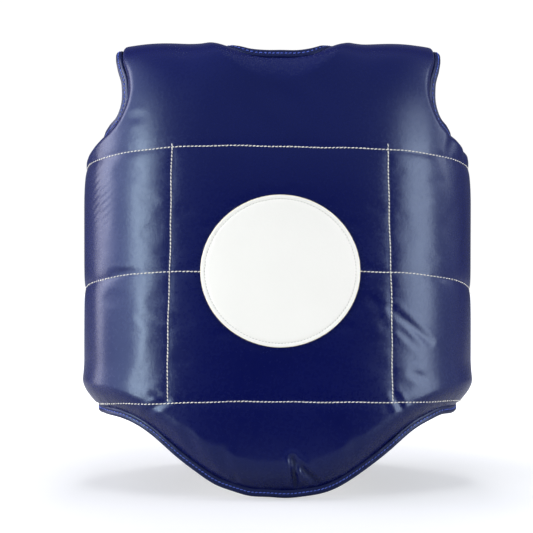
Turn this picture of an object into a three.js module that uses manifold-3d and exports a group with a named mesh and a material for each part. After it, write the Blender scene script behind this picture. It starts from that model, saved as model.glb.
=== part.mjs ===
// Padded body protector: a quilted leather vest for the front and the sides of the torso,
// held by three elastic bands across an opening at the back.
// Millimetres, +Z up, the front faces -Y and the hem stands on z = 0.
// Every piece is shaped flat, as a paper pattern, and then bent round a torso form:
// p runs round the girth from the front centre, q runs up the wall and over the shoulder,
// and w leaves the wearer's side of the padding.

import * as THREE from 'three';
import { mergeVertices } from 'three/addons/utils/BufferGeometryUtils.js';
import Module from 'manifold-3d';

const wasm = await Module();
wasm.setup();

// Clear air between neighbouring pieces, and between the padding and the tape round it.
const GAP = 0.3;
const SEWN_GAP = 0.5;

// The wearer's side of the vest: a rounded ring that arches in to the shoulder ridge.
// Everything sinks a little towards the back, by rearDrop for each millimetre of depth.
const TORSO = { halfWidth: 193, halfDepth: 120, squareness: 2.6, rearDrop: 0.1 };

// The arch starts at one height all round. Its ridge climbs from the neck to the arm, and the front
// stays upright for longer under the neck hole than under the shoulders.
const SHOULDER = {
  start: 385,
  neckRise: 98,
  armRise: 103,
  climb: 90,
  squareness: 4,
  neckSquareness: 8,
  neckReach: 110,
  fade: 260,
};

// Thickness of the padding where it is full, and where it is pinched.
const PAD = { front: 26, shoulder: 6, back: 14, stitched: 22, seam: 12, edge: 4, wingEdge: 8 };

// How far the padding takes to fill out again from each kind of line.
const ROLL = {
  armFront: 22,
  armFoot: 22,
  neck: 26,
  belly: 34,
  wing: 25,
  backEdge: 26,
  seam: 16,
  quilting: 15,
};

// Folded tape over the raw edges.
const TAPE = { width: 9, thickness: 5.6, chamfer: 1.1, wearerSide: -0.8 };

// Quilting rows by height, and the two upright columns between the first row and the last.
const QUILTING = { rows: [368, 239.5, 104], columnTop: 113, columnFoot: 118 };

// Round patch on the chest.
const DISC = { radius: 79, height: 239, thickness: 2 };

// Scalloped hem: low in the middle, rising to the wings.
const HEM = { frontFlat: 0, backFlat: 78, wingStart: 175, wingHeight: 81, lag: 1.42 };

// The wings lean out towards the hem, from a half width outwards and from a height downwards.
const WING = { flare: 6, inner: 120, span: 70, top: 150, fade: 70 };

// Armhole: half width at the ridge, its front edge by half width and height, and its foot at the side.
const ARMHOLE_TOP = 178;
const ARMHOLE = [
  { across: 172, height: 458 },
  { across: 167, height: 440 },
  { across: 167.5, height: 422 },
  { across: 172.5, height: 408 },
  { across: 183, height: 397 },
  { across: 191, height: 389 },
];
const ARMHOLE_FOOT = 381;

// Neck hole, and the opening that runs from it down the whole back.
const NECK = { halfWidth: 59, frontDrop: 109, squareness: 3.4 };
const OPENING = { halfWidth: 45, flareLength: 75 };

// Side seams sit this far behind the widest point.
const SEAM_BEHIND = 20;

// Elastic bands across the opening, by the height of their middle.
const STRAP = { length: 190, width: 40, thickness: 2 };
const STRAP_ROWS = [
  { name: 'back_strap_upper', height: 340 },
  { name: 'back_strap_middle', height: 225 },
  { name: 'back_strap_lower', height: 110 },
];

// Mesh spacing over the padding, along the tape and round the disc. The padding has closer grid lines
// round the fold of the shoulder, given by their distance from the ridge.
const GRID = 19.5;
const FOLD_LINES = [120, 108, 96, 84, 72, 60, 48, 36, 24, 12];
const TAPE_STEP = 9;
const DISC_SIDES = 64;

const COLOURS = { leather: 0x121e4d, tape: 0x171b43, disc: 0xf4f3ee, elastic: 0x15161b };

// Shaping helpers
const clamp01 = (value) => Math.min(1, Math.max(0, value));
const smooth = (value) => clamp01(value) ** 2 * (3 - 2 * clamp01(value));
const smoother = (value) => clamp01(value) ** 3 * (clamp01(value) * (clamp01(value) * 6 - 15) + 10);
const lerp = (from, to, share) => from + (to - from) * share;

// A quarter of a superellipse from (0, tall) to (wide, 0), walked by arc length.
class RoundedQuarter {
  constructor(wide, tall, power) {
    const steps = 600;
    this.points = [];
    this.lengths = [0];
    for (let i = 0; i <= steps; i++) {
      const turn = (i / steps) * Math.PI * 0.5;
      const x = wide * Math.sin(turn) ** (2 / power);
      const y = tall * Math.max(0, Math.cos(turn)) ** (2 / power);
      this.points.push(new THREE.Vector2(x, y));
      if (i > 0) {
        this.lengths.push(this.lengths[i - 1] + this.points[i].distanceTo(this.points[i - 1]));
      }
    }
    this.length = this.lengths[steps];
  }

  at(distance) {
    const last = this.lengths.length - 1;
    let low = 0;
    let high = last;
    while (high - low > 1) {
      const middle = (low + high) >> 1;
      if (this.lengths[middle] <= distance) {
        low = middle;
      } else {
        high = middle;
      }
    }
    const share = clamp01((distance - this.lengths[low]) / (this.lengths[high] - this.lengths[low]));
    return this.points[low].clone().lerp(this.points[high], share);
  }

  distanceAcross(x) {
    let low = 0;
    let high = this.length;
    for (let i = 0; i < 50; i++) {
      const middle = (low + high) / 2;
      if (this.at(middle).x < x) {
        low = middle;
      } else {
        high = middle;
      }
    }
    return (low + high) / 2;
  }
}

const girth = new RoundedQuarter(TORSO.halfWidth, TORSO.halfDepth, TORSO.squareness);

// Shoulder arches of one size, from the round one to the upright one.
const ARCHES = 12;
const arches = [];
for (let i = 0; i <= ARCHES; i++) {
  const power = lerp(SHOULDER.squareness, SHOULDER.neckSquareness, i / ARCHES);
  arches.push(new RoundedQuarter(SHOULDER.armRise, TORSO.halfDepth, power));
}

const SIDE = girth.length;
const RIDGE = SHOULDER.start + arches[0].length;
const SIDE_SEAM = SIDE + SEAM_BEHIND;
const foldRows = FOLD_LINES.map((distance) => RIDGE - distance);

// Position round the ring, which runs on past the back centre.
function ringPoint(p) {
  const turn = p > 2 * SIDE ? p - 4 * SIDE : p;
  const hand = Math.sign(turn) || 1;
  const reach = Math.abs(turn);
  const spot = girth.at(Math.min(reach, 2 * SIDE - reach));
  return new THREE.Vector2(hand * spot.x, reach < SIDE ? -spot.y : spot.y);
}

// Height at a place of the pattern, and the share of the ring's depth that is left there.
function archPoint(ring, q) {
  if (q <= SHOULDER.start) {
    return new THREE.Vector2(q, 1);
  }
  const upright = ring.y < 0 ? ARCHES * (1 - smoother(Math.abs(ring.x) / SHOULDER.neckReach)) : 0;
  const first = Math.min(ARCHES - 1, Math.floor(upright));
  const share = (q - SHOULDER.start) / (RIDGE - SHOULDER.start);
  const round = arches[first].at(share * arches[first].length);
  const spot = round.lerp(arches[first + 1].at(share * arches[first + 1].length), upright - first);
  const outward = smoother((Math.abs(ring.x) - NECK.halfWidth) / SHOULDER.climb);
  const lift = lerp(SHOULDER.neckRise / SHOULDER.armRise, 1, outward);
  return new THREE.Vector2(SHOULDER.start + spot.x * lift, spot.y / TORSO.halfDepth);
}

// How far the wings lean out.
function wingFlare(ring, q) {
  const outer = smooth((Math.abs(ring.x) - WING.inner) / WING.span);
  return Math.sign(ring.x) * WING.flare * outer * smooth((WING.top - q) / WING.fade);
}

// Point of the wearer's side at a place of the pattern.
function bodyPoint(p, q) {
  const ring = ringPoint(p);
  const spot = archPoint(ring, q);
  const x = ring.x + wingFlare(ring, q);
  const y = ring.y * spot.y;
  return new THREE.Vector3(x, y, spot.x - TORSO.rearDrop * (y + TORSO.halfDepth));
}

// Direction that leaves the body there.
function bodyNormal(p, q) {
  const step = 0.6;
  const along = bodyPoint(p + step, q).sub(bodyPoint(p - step, q));
  const up = bodyPoint(p, q + step).sub(bodyPoint(p, q - step));
  return along.cross(up).normalize();
}

function place(p, q, w) {
  return bodyPoint(p, q).addScaledVector(bodyNormal(p, q), w);
}

// Pattern place on the front at a half width and a height.
function frontSpot(across, height) {
  const p = girth.distanceAcross(across);
  let low = 0;
  let high = RIDGE;
  for (let i = 0; i < 50; i++) {
    const middle = (low + high) / 2;
    if (bodyPoint(p, middle).z < height) {
      low = middle;
    } else {
      high = middle;
    }
  }
  return new THREE.Vector2(p, (low + high) / 2);
}

// Edge lines of the pattern, each a row of points
function hemLine() {
  const end = 2 * SIDE - girth.distanceAcross(OPENING.halfWidth) + 12;
  const count = Math.round((2 * end) / 7);
  const points = [];
  for (let i = 0; i <= count; i++) {
    const p = lerp(-end, end, i / count);
    const ring = ringPoint(p);
    const flat = ring.y < 0 ? HEM.frontFlat : HEM.backFlat;
    const climb = clamp01((Math.abs(ring.x) - flat) / (HEM.wingStart - flat));
    const height = HEM.wingHeight * smooth(climb ** HEM.lag);
    points.push(new THREE.Vector2(p, height + TORSO.rearDrop * (ring.y + TORSO.halfDepth)));
  }
  return points;
}

function armholeLine() {
  const front = ARMHOLE.map((row) => frontSpot(row.across, row.height));
  const top = new THREE.Vector2(girth.distanceAcross(ARMHOLE_TOP), RIDGE);
  const beyond = new THREE.Vector2(top.x, RIDGE + 14);
  const foot = frontSpot(TORSO.halfWidth, ARMHOLE_FOOT);
  const half = [beyond, top, ...front];
  const rear = half.map((spot) => new THREE.Vector2(2 * SIDE - spot.x, spot.y)).reverse();
  return new THREE.SplineCurve([...half, foot, ...rear]).getSpacedPoints(72);
}

function neckLine() {
  const points = [];
  const half = new RoundedQuarter(NECK.halfWidth, NECK.frontDrop, NECK.squareness);
  for (let i = -27; i <= 27; i++) {
    const spot = half.at((Math.abs(i) / 25) * half.length);
    const beyond = Math.max(0, Math.abs(i) - 25) * 6;
    points.push(new THREE.Vector2(Math.sign(i) * spot.x, RIDGE - spot.y + beyond));
  }
  return points;
}

function openingLine() {
  const foot = TORSO.rearDrop * TORSO.halfDepth * 2;
  const points = [];
  const count = 70;
  for (let i = 0; i <= count; i++) {
    const q = lerp(foot - 12, RIDGE + 12, i / count);
    const flare = smooth((q - (RIDGE - OPENING.flareLength)) / OPENING.flareLength);
    const across = lerp(OPENING.halfWidth, NECK.halfWidth, flare);
    points.push(new THREE.Vector2(2 * SIDE - girth.distanceAcross(across), q));
  }
  return points;
}

// The same line moved sideways, to the left of its direction.
function shifted(points, distance) {
  return points.map((point, i) => {
    const next = points[Math.min(i + 1, points.length - 1)];
    const previous = points[Math.max(i - 1, 0)];
    const along = next.clone().sub(previous).normalize();
    return new THREE.Vector2(point.x - along.y * distance, point.y + along.x * distance);
  });
}

const mirrored = (points) => points.map((point) => new THREE.Vector2(-point.x, point.y)).reverse();

const hem = hemLine();
const armholeRight = armholeLine();
const armholeLeft = mirrored(armholeRight);
const neck = neckLine();
const openingRight = openingLine();
const openingLeft = mirrored(openingRight);

// Sewn edge of the padding, just inside the tape; the armholes and the neck are walked with the
// padding on their right, the hem and the right side of the opening with it on their left.
const INSET = TAPE.width + SEWN_GAP;
const sewnHem = shifted(hem, INSET);
const sewnArmRight = shifted(armholeRight, -INSET);
const sewnArmLeft = shifted(armholeLeft, -INSET);
const sewnNeck = shifted(neck, -INSET);
const sewnOpening = shifted(openingRight, INSET);

function distanceTo(points, p, q) {
  let best = Infinity;
  for (const point of points) {
    best = Math.min(best, (point.x - p) ** 2 + (point.y - q) ** 2);
  }
  return Math.sqrt(best);
}

// Share of the padding filled out at a distance from a pinched line.
const rolled = (distance, reach) => Math.sin(clamp01(distance / reach) * Math.PI * 0.5);

// Share of the padding left beside the quilting, 0 on a stitched line.
function quiltedShare(p, q) {
  const [top, middle, foot] = QUILTING.rows;
  const column = lerp(QUILTING.columnFoot, QUILTING.columnTop, clamp01((q - foot) / (top - foot)));
  const beyond = Math.max(0, q - top, foot - q);
  const clear = Math.hypot(p, q - DISC.height) - DISC.radius;
  const lines = [
    Math.abs(q - top),
    Math.abs(q - foot),
    Math.hypot(q - middle, Math.max(0, 14 - clear)),
    Math.hypot(Math.abs(p) - column, beyond),
  ];
  return 1 - Math.exp(-Math.min(...lines) / ROLL.quilting);
}

const hemReach = (p) => lerp(ROLL.belly, ROLL.wing, smooth(Math.abs(p) / 190));
const armReach = (p) => lerp(ROLL.armFront, ROLL.armFoot, smooth((Math.abs(p) - 185) / 50));

// Thickness left at the sewn edge, a little more along the foot of the wings.
function edgeThickness(p, q) {
  const wing = smooth((Math.abs(p) - 120) / 90) * smooth((200 - q) / 60);
  return lerp(PAD.edge, PAD.wingEdge, wing);
}

function frontThickness(p, q) {
  const arms = Math.min(distanceTo(sewnArmRight, p, q), distanceTo(sewnArmLeft, p, q));
  const edge = Math.min(
    rolled(distanceTo(sewnHem, p, q), hemReach(p)),
    rolled(arms, armReach(p)),
    rolled(distanceTo(sewnNeck, p, q), ROLL.neck),
  );
  const seam = rolled(Math.min(SIDE_SEAM - Math.abs(p), RIDGE - q), ROLL.seam);
  const stitched = lerp(PAD.stitched, PAD.front, 0.6 * smooth((Math.abs(p) - 120) / 90));
  const quilted = lerp(stitched, PAD.front, quiltedShare(p, q));
  const full = lerp(quilted, PAD.shoulder, smooth(1 - (RIDGE - q) / SHOULDER.fade));
  return lerp(edgeThickness(p, q), Math.min(full, lerp(PAD.seam, full, seam)), edge);
}

function backThickness(p, q) {
  const reach = Math.abs(p);
  const edge = Math.min(
    rolled(distanceTo(sewnHem, reach, q), ROLL.wing),
    rolled(distanceTo(sewnArmRight, reach, q), ROLL.armFoot),
    rolled(distanceTo(sewnOpening, reach, q), ROLL.backEdge),
  );
  const seam = rolled(Math.min(reach - SIDE_SEAM, RIDGE - q), ROLL.seam);
  return lerp(PAD.edge, lerp(PAD.seam, PAD.back, seam), edge);
}

// Solids
function toSolid(geometry) {
  const loose = geometry.index ? geometry.toNonIndexed() : geometry.clone();
  loose.deleteAttribute('normal');
  loose.deleteAttribute('uv');
  const merged = mergeVertices(loose, 1e-4);
  return new wasm.Manifold(new wasm.Mesh({
    numProp: 3,
    vertProperties: new Float32Array(merged.attributes.position.array),
    triVerts: new Uint32Array(merged.index.array),
  }));
}

// Bends a flat solid: each corner (p, q, w) goes where the given function puts it.
function bent(solid, move) {
  const mesh = solid.getMesh();
  const positions = new Float32Array(mesh.numVert * 3);
  for (let i = 0; i < mesh.numVert; i++) {
    const at = i * mesh.numProp;
    const [p, q, w] = mesh.vertProperties.slice(at, at + 3);
    move(p, q, w).toArray(positions, i * 3);
  }
  const geometry = new THREE.BufferGeometry();
  geometry.setAttribute('position', new THREE.BufferAttribute(positions, 3));
  geometry.setIndex(Array.from(mesh.triVerts));
  geometry.computeVertexNormals();
  return geometry;
}

// Grid lines from one end to the other, with a line on each given stop.
function gridLines(from, to, stops) {
  const marks = [from, ...stops.filter((stop) => stop > from && stop < to), to];
  const lines = [from];
  for (let i = 1; i < marks.length; i++) {
    const parts = Math.max(1, Math.round((marks[i] - marks[i - 1]) / GRID));
    for (let j = 1; j <= parts; j++) {
      lines.push(lerp(marks[i - 1], marks[i], j / parts));
    }
  }
  return lines;
}

// Flat sheet of padding with its corners on the grid lines, w from 0 to 1. The columns can lean.
function slab(columns, rows, lean = (column) => column) {
  const geometry = new THREE.BoxGeometry(1, 1, 1, columns.length - 1, rows.length - 1, 1);
  const position = geometry.attributes.position;
  for (let i = 0; i < position.count; i++) {
    const column = Math.round((position.getX(i) + 0.5) * (columns.length - 1));
    const row = Math.round((position.getY(i) + 0.5) * (rows.length - 1));
    position.setXYZ(i, lean(columns[column], rows[row]), rows[row], position.getZ(i) + 0.5);
  }
  return toSolid(geometry);
}

// Upright prism on an outline of the pattern, for cutting a sheet.
function prism(points) {
  const options = { depth: 40, bevelEnabled: false };
  const geometry = new THREE.ExtrudeGeometry(new THREE.Shape(points), options);
  return toSolid(geometry.translate(0, 0, -20));
}

const corner = (p, q) => new THREE.Vector2(p, q);
const hemEnd = hem[hem.length - 1].x;
const below = prism([corner(hemEnd, -60), corner(-hemEnd, -60), ...sewnHem].reverse());
const armCutRight = prism([...sewnArmRight, corner(SIDE, RIDGE + 60)]);
const armCutLeft = prism([...sewnArmLeft, corner(-SIDE, RIDGE + 60)]);
const neckCut = prism([...sewnNeck, corner(0, RIDGE + 60)]);
const aboveRidge = toSolid(new THREE.BoxGeometry(2000, 100, 60).translate(0, RIDGE - GAP / 2 + 50, 0));

// Whole front before it is cut, with grid lines on the quilting.
function frontSheet() {
  const reach = SIDE_SEAM - GAP / 2;
  const [top, middle, foot] = QUILTING.rows;
  const column = (QUILTING.columnTop + QUILTING.columnFoot) / 2;
  const columns = gridLines(-reach, reach, [-column, 0, column]);
  return slab(columns, gridLines(0, RIDGE - GAP / 2, [foot, middle, top, ...foldRows]));
}

function frontPanel() {
  let sheet = frontSheet();
  for (const cutter of [below, armCutRight, armCutLeft, neckCut]) {
    sheet = sheet.subtract(cutter);
  }
  return bent(sheet, (p, q, w) => place(p, q, w * frontThickness(p, q)));
}

// Place of the sewn edge of the opening at a height of the pattern.
function openingAt(q) {
  const next = Math.max(1, sewnOpening.findIndex((point) => point.y >= q));
  const low = sewnOpening[next - 1];
  const high = sewnOpening[next];
  return lerp(low.x, high.x, clamp01((q - low.y) / (high.y - low.y)));
}

// The columns of the back lean from the side seam to the edge of the opening.
function backPanel() {
  const from = SIDE_SEAM + GAP / 2;
  const span = openingAt(0) - from;
  const columns = gridLines(from, from + span, []);
  const lean = (column, q) => lerp(from, openingAt(q), (column - from) / span);
  let sheet = slab(columns, gridLines(0, RIDGE - GAP / 2, foldRows), lean);
  for (const cutter of [below, armCutRight]) {
    sheet = sheet.subtract(cutter);
  }
  return bent(sheet, (p, q, w) => place(p, q, w * backThickness(p, q)));
}

// Flat tape section, with its corners taken off.
function tapeSection() {
  const across = TAPE.width / 2;
  const deep = TAPE.thickness / 2;
  return new THREE.Shape([
    corner(-deep, -across),
    corner(deep - TAPE.chamfer, -across),
    corner(deep, -across + TAPE.chamfer),
    corner(deep, across - TAPE.chamfer),
    corner(deep - TAPE.chamfer, across),
    corner(-deep, across),
  ]);
}

// Tape along a line of the pattern, still flat.
function flatTape(points) {
  const level = TAPE.wearerSide + TAPE.thickness / 2;
  const route = points.map((point) => new THREE.Vector3(point.x, point.y, level));
  const curve = new THREE.CatmullRomCurve3(route);
  const steps = Math.round(curve.getLength() / TAPE_STEP);
  const options = { steps, bevelEnabled: false, extrudePath: curve };
  return toSolid(new THREE.ExtrudeGeometry(tapeSection(), options));
}

function edgeTape(points, side) {
  const tape = flatTape(shifted(points, side * (TAPE.width / 2)));
  return bent(tape.subtract(aboveRidge), place);
}

// The hem tape stops against the tape of the opening at each end.
function hemTape() {
  const reach = 2 * SIDE - girth.distanceAcross(OPENING.halfWidth) - INSET;
  const stops = toSolid(new THREE.BoxGeometry(2 * reach, 400, 60).translate(0, 100, 0));
  return bent(flatTape(shifted(hem, TAPE.width / 2)).intersect(stops), place);
}

function openingTape() {
  const foot = TORSO.rearDrop * TORSO.halfDepth * 2;
  const belowFoot = toSolid(new THREE.BoxGeometry(2000, 100, 60).translate(0, foot - 50, 0));
  const tape = flatTape(shifted(openingRight, TAPE.width / 2));
  return bent(tape.subtract(aboveRidge).subtract(belowFoot), place);
}

// The patch lies on the quilted front and takes its shape.
function discPatch() {
  const round = new THREE.CylinderGeometry(DISC.radius, DISC.radius, 40, DISC_SIDES);
  round.rotateX(Math.PI / 2).translate(0, DISC.height, 0);
  const flat = frontSheet().intersect(toSolid(round));
  return bent(flat, (p, q, w) => place(p, q, frontThickness(p, q) + SEWN_GAP + w * DISC.thickness));
}

// Each band is taut over the opening, level with the padding on both sides.
function strap(height) {
  const q = height + TORSO.rearDrop * TORSO.halfDepth * 2;
  const band = new THREE.BoxGeometry(STRAP.length, STRAP.width, STRAP.thickness, 16, 2, 1);
  band.translate(2 * SIDE, q, PAD.back + GAP + STRAP.thickness / 2);
  return bent(toSolid(band), place);
}

// The same piece for the other side of the body.
function otherSide(geometry) {
  const copy = geometry.clone().scale(-1, 1, 1);
  copy.setIndex(Array.from(copy.index.array).reverse());
  copy.computeVertexNormals();
  return copy;
}

function part(name, geometry, colour, roughness) {
  const material = new THREE.MeshStandardMaterial({ color: colour, roughness, metalness: 0 });
  const mesh = new THREE.Mesh(geometry, material);
  mesh.name = name;
  return mesh;
}

const vest = new THREE.Group();
vest.name = 'body_protector';

vest.add(part('front_panel', frontPanel(), COLOURS.leather, 0.35));
const backRight = backPanel();
vest.add(part('back_panel_right', backRight, COLOURS.leather, 0.35));
vest.add(part('back_panel_left', otherSide(backRight), COLOURS.leather, 0.35));
vest.add(part('neck_binding', edgeTape(neck, -1), COLOURS.tape, 0.5));
const armTape = edgeTape(armholeRight, -1);
vest.add(part('armhole_binding_right', armTape, COLOURS.tape, 0.5));
vest.add(part('armhole_binding_left', otherSide(armTape), COLOURS.tape, 0.5));
vest.add(part('hem_binding', hemTape(), COLOURS.tape, 0.5));
const backTape = openingTape();
vest.add(part('back_edge_binding_right', backTape, COLOURS.tape, 0.5));
vest.add(part('back_edge_binding_left', otherSide(backTape), COLOURS.tape, 0.5));
vest.add(part('disc_patch', discPatch(), COLOURS.disc, 0.5));
for (const row of STRAP_ROWS) {
  vest.add(part(row.name, strap(row.height), COLOURS.elastic, 0.8));
}

// The origin goes under the middle of the vest.
const bounds = new THREE.Box3().setFromObject(vest);
const middleY = (bounds.min.y + bounds.max.y) / 2;
for (const mesh of vest.children) {
  mesh.geometry.translate(0, -middleY, -bounds.min.z);
}

export default vest;
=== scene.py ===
"""Dressed model of a padded body protector: a quilted leather vest on a pale studio floor.

Sizes in the classes are millimetres on a flat pattern. On it p runs round the girth from the front
centre, q runs up the wall and over the shoulder, and w leaves the wearer's side of the padding.
TorsoForm bends the pattern round the body and gives metres in the frame of the part.
"""

import logging
import math
from dataclasses import dataclass, field
from enum import Enum
from typing import Callable, Sequence

import bmesh
import bpy
import numpy as np
from mathutils import Matrix, Vector
from mathutils.kdtree import KDTree


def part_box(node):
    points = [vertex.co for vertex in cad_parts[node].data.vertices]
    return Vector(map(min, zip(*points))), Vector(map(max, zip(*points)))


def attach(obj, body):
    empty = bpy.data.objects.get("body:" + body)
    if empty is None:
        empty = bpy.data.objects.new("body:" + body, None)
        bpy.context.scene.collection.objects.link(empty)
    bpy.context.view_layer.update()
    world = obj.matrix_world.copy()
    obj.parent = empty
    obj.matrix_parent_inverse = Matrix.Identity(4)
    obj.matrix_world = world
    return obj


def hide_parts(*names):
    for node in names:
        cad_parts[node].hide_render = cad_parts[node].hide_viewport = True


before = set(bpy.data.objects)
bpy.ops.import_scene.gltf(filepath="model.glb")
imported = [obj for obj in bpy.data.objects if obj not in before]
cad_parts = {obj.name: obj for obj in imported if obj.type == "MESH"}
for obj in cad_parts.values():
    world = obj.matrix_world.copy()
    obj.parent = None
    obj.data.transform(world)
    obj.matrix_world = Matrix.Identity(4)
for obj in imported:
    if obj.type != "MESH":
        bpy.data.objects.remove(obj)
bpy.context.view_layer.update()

METRES = 0.001
# Outer face of the bands, behind the middle of the torso form.
BAND_FACE = 136.3
BODY = "root"
LOG = logging.getLogger("body_protector")
Array = np.ndarray
Colour = tuple[float, float, float, float]
Inputs = dict[str | int, object]
Run = tuple[Array, Array, Array]
NO_LIGHT: Colour = (0.0, 0.0, 0.0, 1.0)
FULL_LIGHT: Colour = (1.0, 1.0, 1.0, 1.0)


class Slot(Enum):
    """Names for material slots of the part, which nothing in this script uses."""

    LEATHER = "padded_leather"
    TAPE = "edge_tape"
    PATCH = "patch_leather"
    ELASTIC = "elastic_band"


class Hand(Enum):
    """Side of the body, by the sign of x."""

    RIGHT = 1
    LEFT = -1


# Pattern maths


def smooth(value: Array) -> Array:
    """Eased share of a value that runs from 0 to 1."""
    share = np.clip(value, 0.0, 1.0)
    return share * share * (3.0 - 2.0 * share)


def smoother(value: Array) -> Array:
    """Eased share of a value from 0 to 1 that also bends in and out gently."""
    share = np.clip(value, 0.0, 1.0)
    return share**3 * (share * (share * 6.0 - 15.0) + 10.0)


def lerp(start: Array, end: Array, share: Array) -> Array:
    """Value that lies a share of the way from start to end."""
    return start + (end - start) * share


def rolled(distance: Array, reach: Array) -> Array:
    """Share of the padding that is filled out at a distance from a pinched line."""
    return np.sin(np.clip(distance / reach, 0.0, 1.0) * math.pi / 2)


def bell(distance: Array, width: float) -> Array:
    """Bump of height 1 round a distance of 0."""
    return np.exp(-((distance / width) ** 2))


@dataclass(frozen=True)
class Ramp:
    """An eased step from 0 to 1 over a span of some measure; a negative span turns it round."""

    start: float
    span: float

    def at(self, value: Array) -> Array:
        """Share that is reached at a value of the measure."""
        return smooth((value - self.start) / self.span)


@dataclass(frozen=True)
class Drift:
    """Unevenness of hand work along a line: a broad wave, which may sway, and a finer one on it."""

    size: float
    length: float
    fine_size: float
    fine_length: float
    sway: float = 0.0
    sway_length: float = 1.0

    def at(self, walk: Array, phase: float = 0.0) -> Array:
        """Unevenness at distances along the line.

        Args:
            walk: Distances along the line.
            phase: Shift of the broad wave.

        Returns:
            Values round 0.
        """
        swayed = walk / self.length + phase + self.sway * np.sin(walk / self.sway_length)
        return self.size * np.sin(swayed) + self.fine_size * np.sin(walk / self.fine_length)


def walked(points: Array) -> Array:
    """Distance walked along a row of points, up to each of them."""
    steps = np.linalg.norm(np.diff(points, axis=0), axis=1)
    return np.concatenate([[0.0], np.cumsum(steps)])


def catmull_rom(knots: Array, per_span: int) -> Array:
    """Smooth curve through a row of knots.

    Args:
        knots: Points that the curve passes through, one a row.
        per_span: Points made for each span between two knots.

    Returns:
        Points of the curve, one a row.
    """
    gaps = np.linalg.norm(np.diff(knots, axis=0), axis=1)[:, None]
    spans = np.diff(knots, axis=0) / gaps
    turns = (spans[:-1] * gaps[1:] + spans[1:] * gaps[:-1]) / (gaps[:-1] + gaps[1:])
    slopes = np.vstack([spans[:1], turns, spans[-1:]])
    share = (np.arange(per_span) / per_span)[:, None]
    rows = []
    for start, end, leave, arrive in zip(knots, knots[1:], slopes[:-1] * gaps, slopes[1:] * gaps):
        cubic = 2 * start - 2 * end + leave + arrive
        square = 3 * end - 3 * start - 2 * leave - arrive
        rows.append(((cubic * share + square) * share + leave) * share + start)
    return np.vstack([*rows, knots[-1:]])


def spline_sample(grid: Array, u: Array, v: Array) -> Array:
    """Smooth reading of a square grid of values.

    Args:
        grid: Values by row and column.
        u: Places along the columns, in cells.
        v: Places along the rows, in cells.

    Returns:
        One value for each place.
    """
    padded = np.pad(grid, 2, mode="edge")
    total = np.zeros(u.shape)
    column = np.clip(np.floor(u).astype(int), 0, grid.shape[1] - 1)
    row = np.clip(np.floor(v).astype(int), 0, grid.shape[0] - 1)
    across = spline_weights(np.clip(u - column, 0.0, 1.0))
    up = spline_weights(np.clip(v - row, 0.0, 1.0))
    for i in range(4):
        for j in range(4):
            total += up[i] * across[j] * padded[row + 1 + i, column + 1 + j]
    return total


def spline_weights(share: Array) -> list[Array]:
    """Weights of four neighbours at a share of the cell between the middle two.

    Args:
        share: Place in the cell, from 0 to 1.

    Returns:
        Four weights, in the order of the neighbours.
    """
    rest = 1.0 - share
    inner = (3 * share**3 - 6 * share**2 + 4) / 6
    outer = (3 * rest**3 - 6 * rest**2 + 4) / 6
    return [rest**3 / 6, inner, outer, share**3 / 6]


# Torso form and the lines of the pattern


class RoundedQuarter:
    """A quarter of a superellipse from (0, tall) to (wide, 0), walked by arc length."""

    STEPS = 600

    def __init__(self, wide: float, tall: float, power: float) -> None:
        """Walks the quarter once and keeps its points.

        Args:
            wide: Reach along x.
            tall: Reach along y.
            power: Squareness; 2 gives an ellipse.
        """
        turn = np.linspace(0.0, math.pi / 2, self.STEPS + 1)
        self.x = wide * np.sin(turn) ** (2 / power)
        self.y = tall * np.clip(np.cos(turn), 0.0, None) ** (2 / power)
        self.lengths = walked(np.stack([self.x, self.y], axis=1))
        self.length = float(self.lengths[-1])

    def at(self, distance: Array) -> tuple[Array, Array]:
        """Point at a walked distance, as x and y."""
        return np.interp(distance, self.lengths, self.x), np.interp(distance, self.lengths, self.y)

    def across(self, x: Array) -> Array:
        """Distance walked up to a given x."""
        return np.interp(x, self.x, self.lengths)


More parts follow.
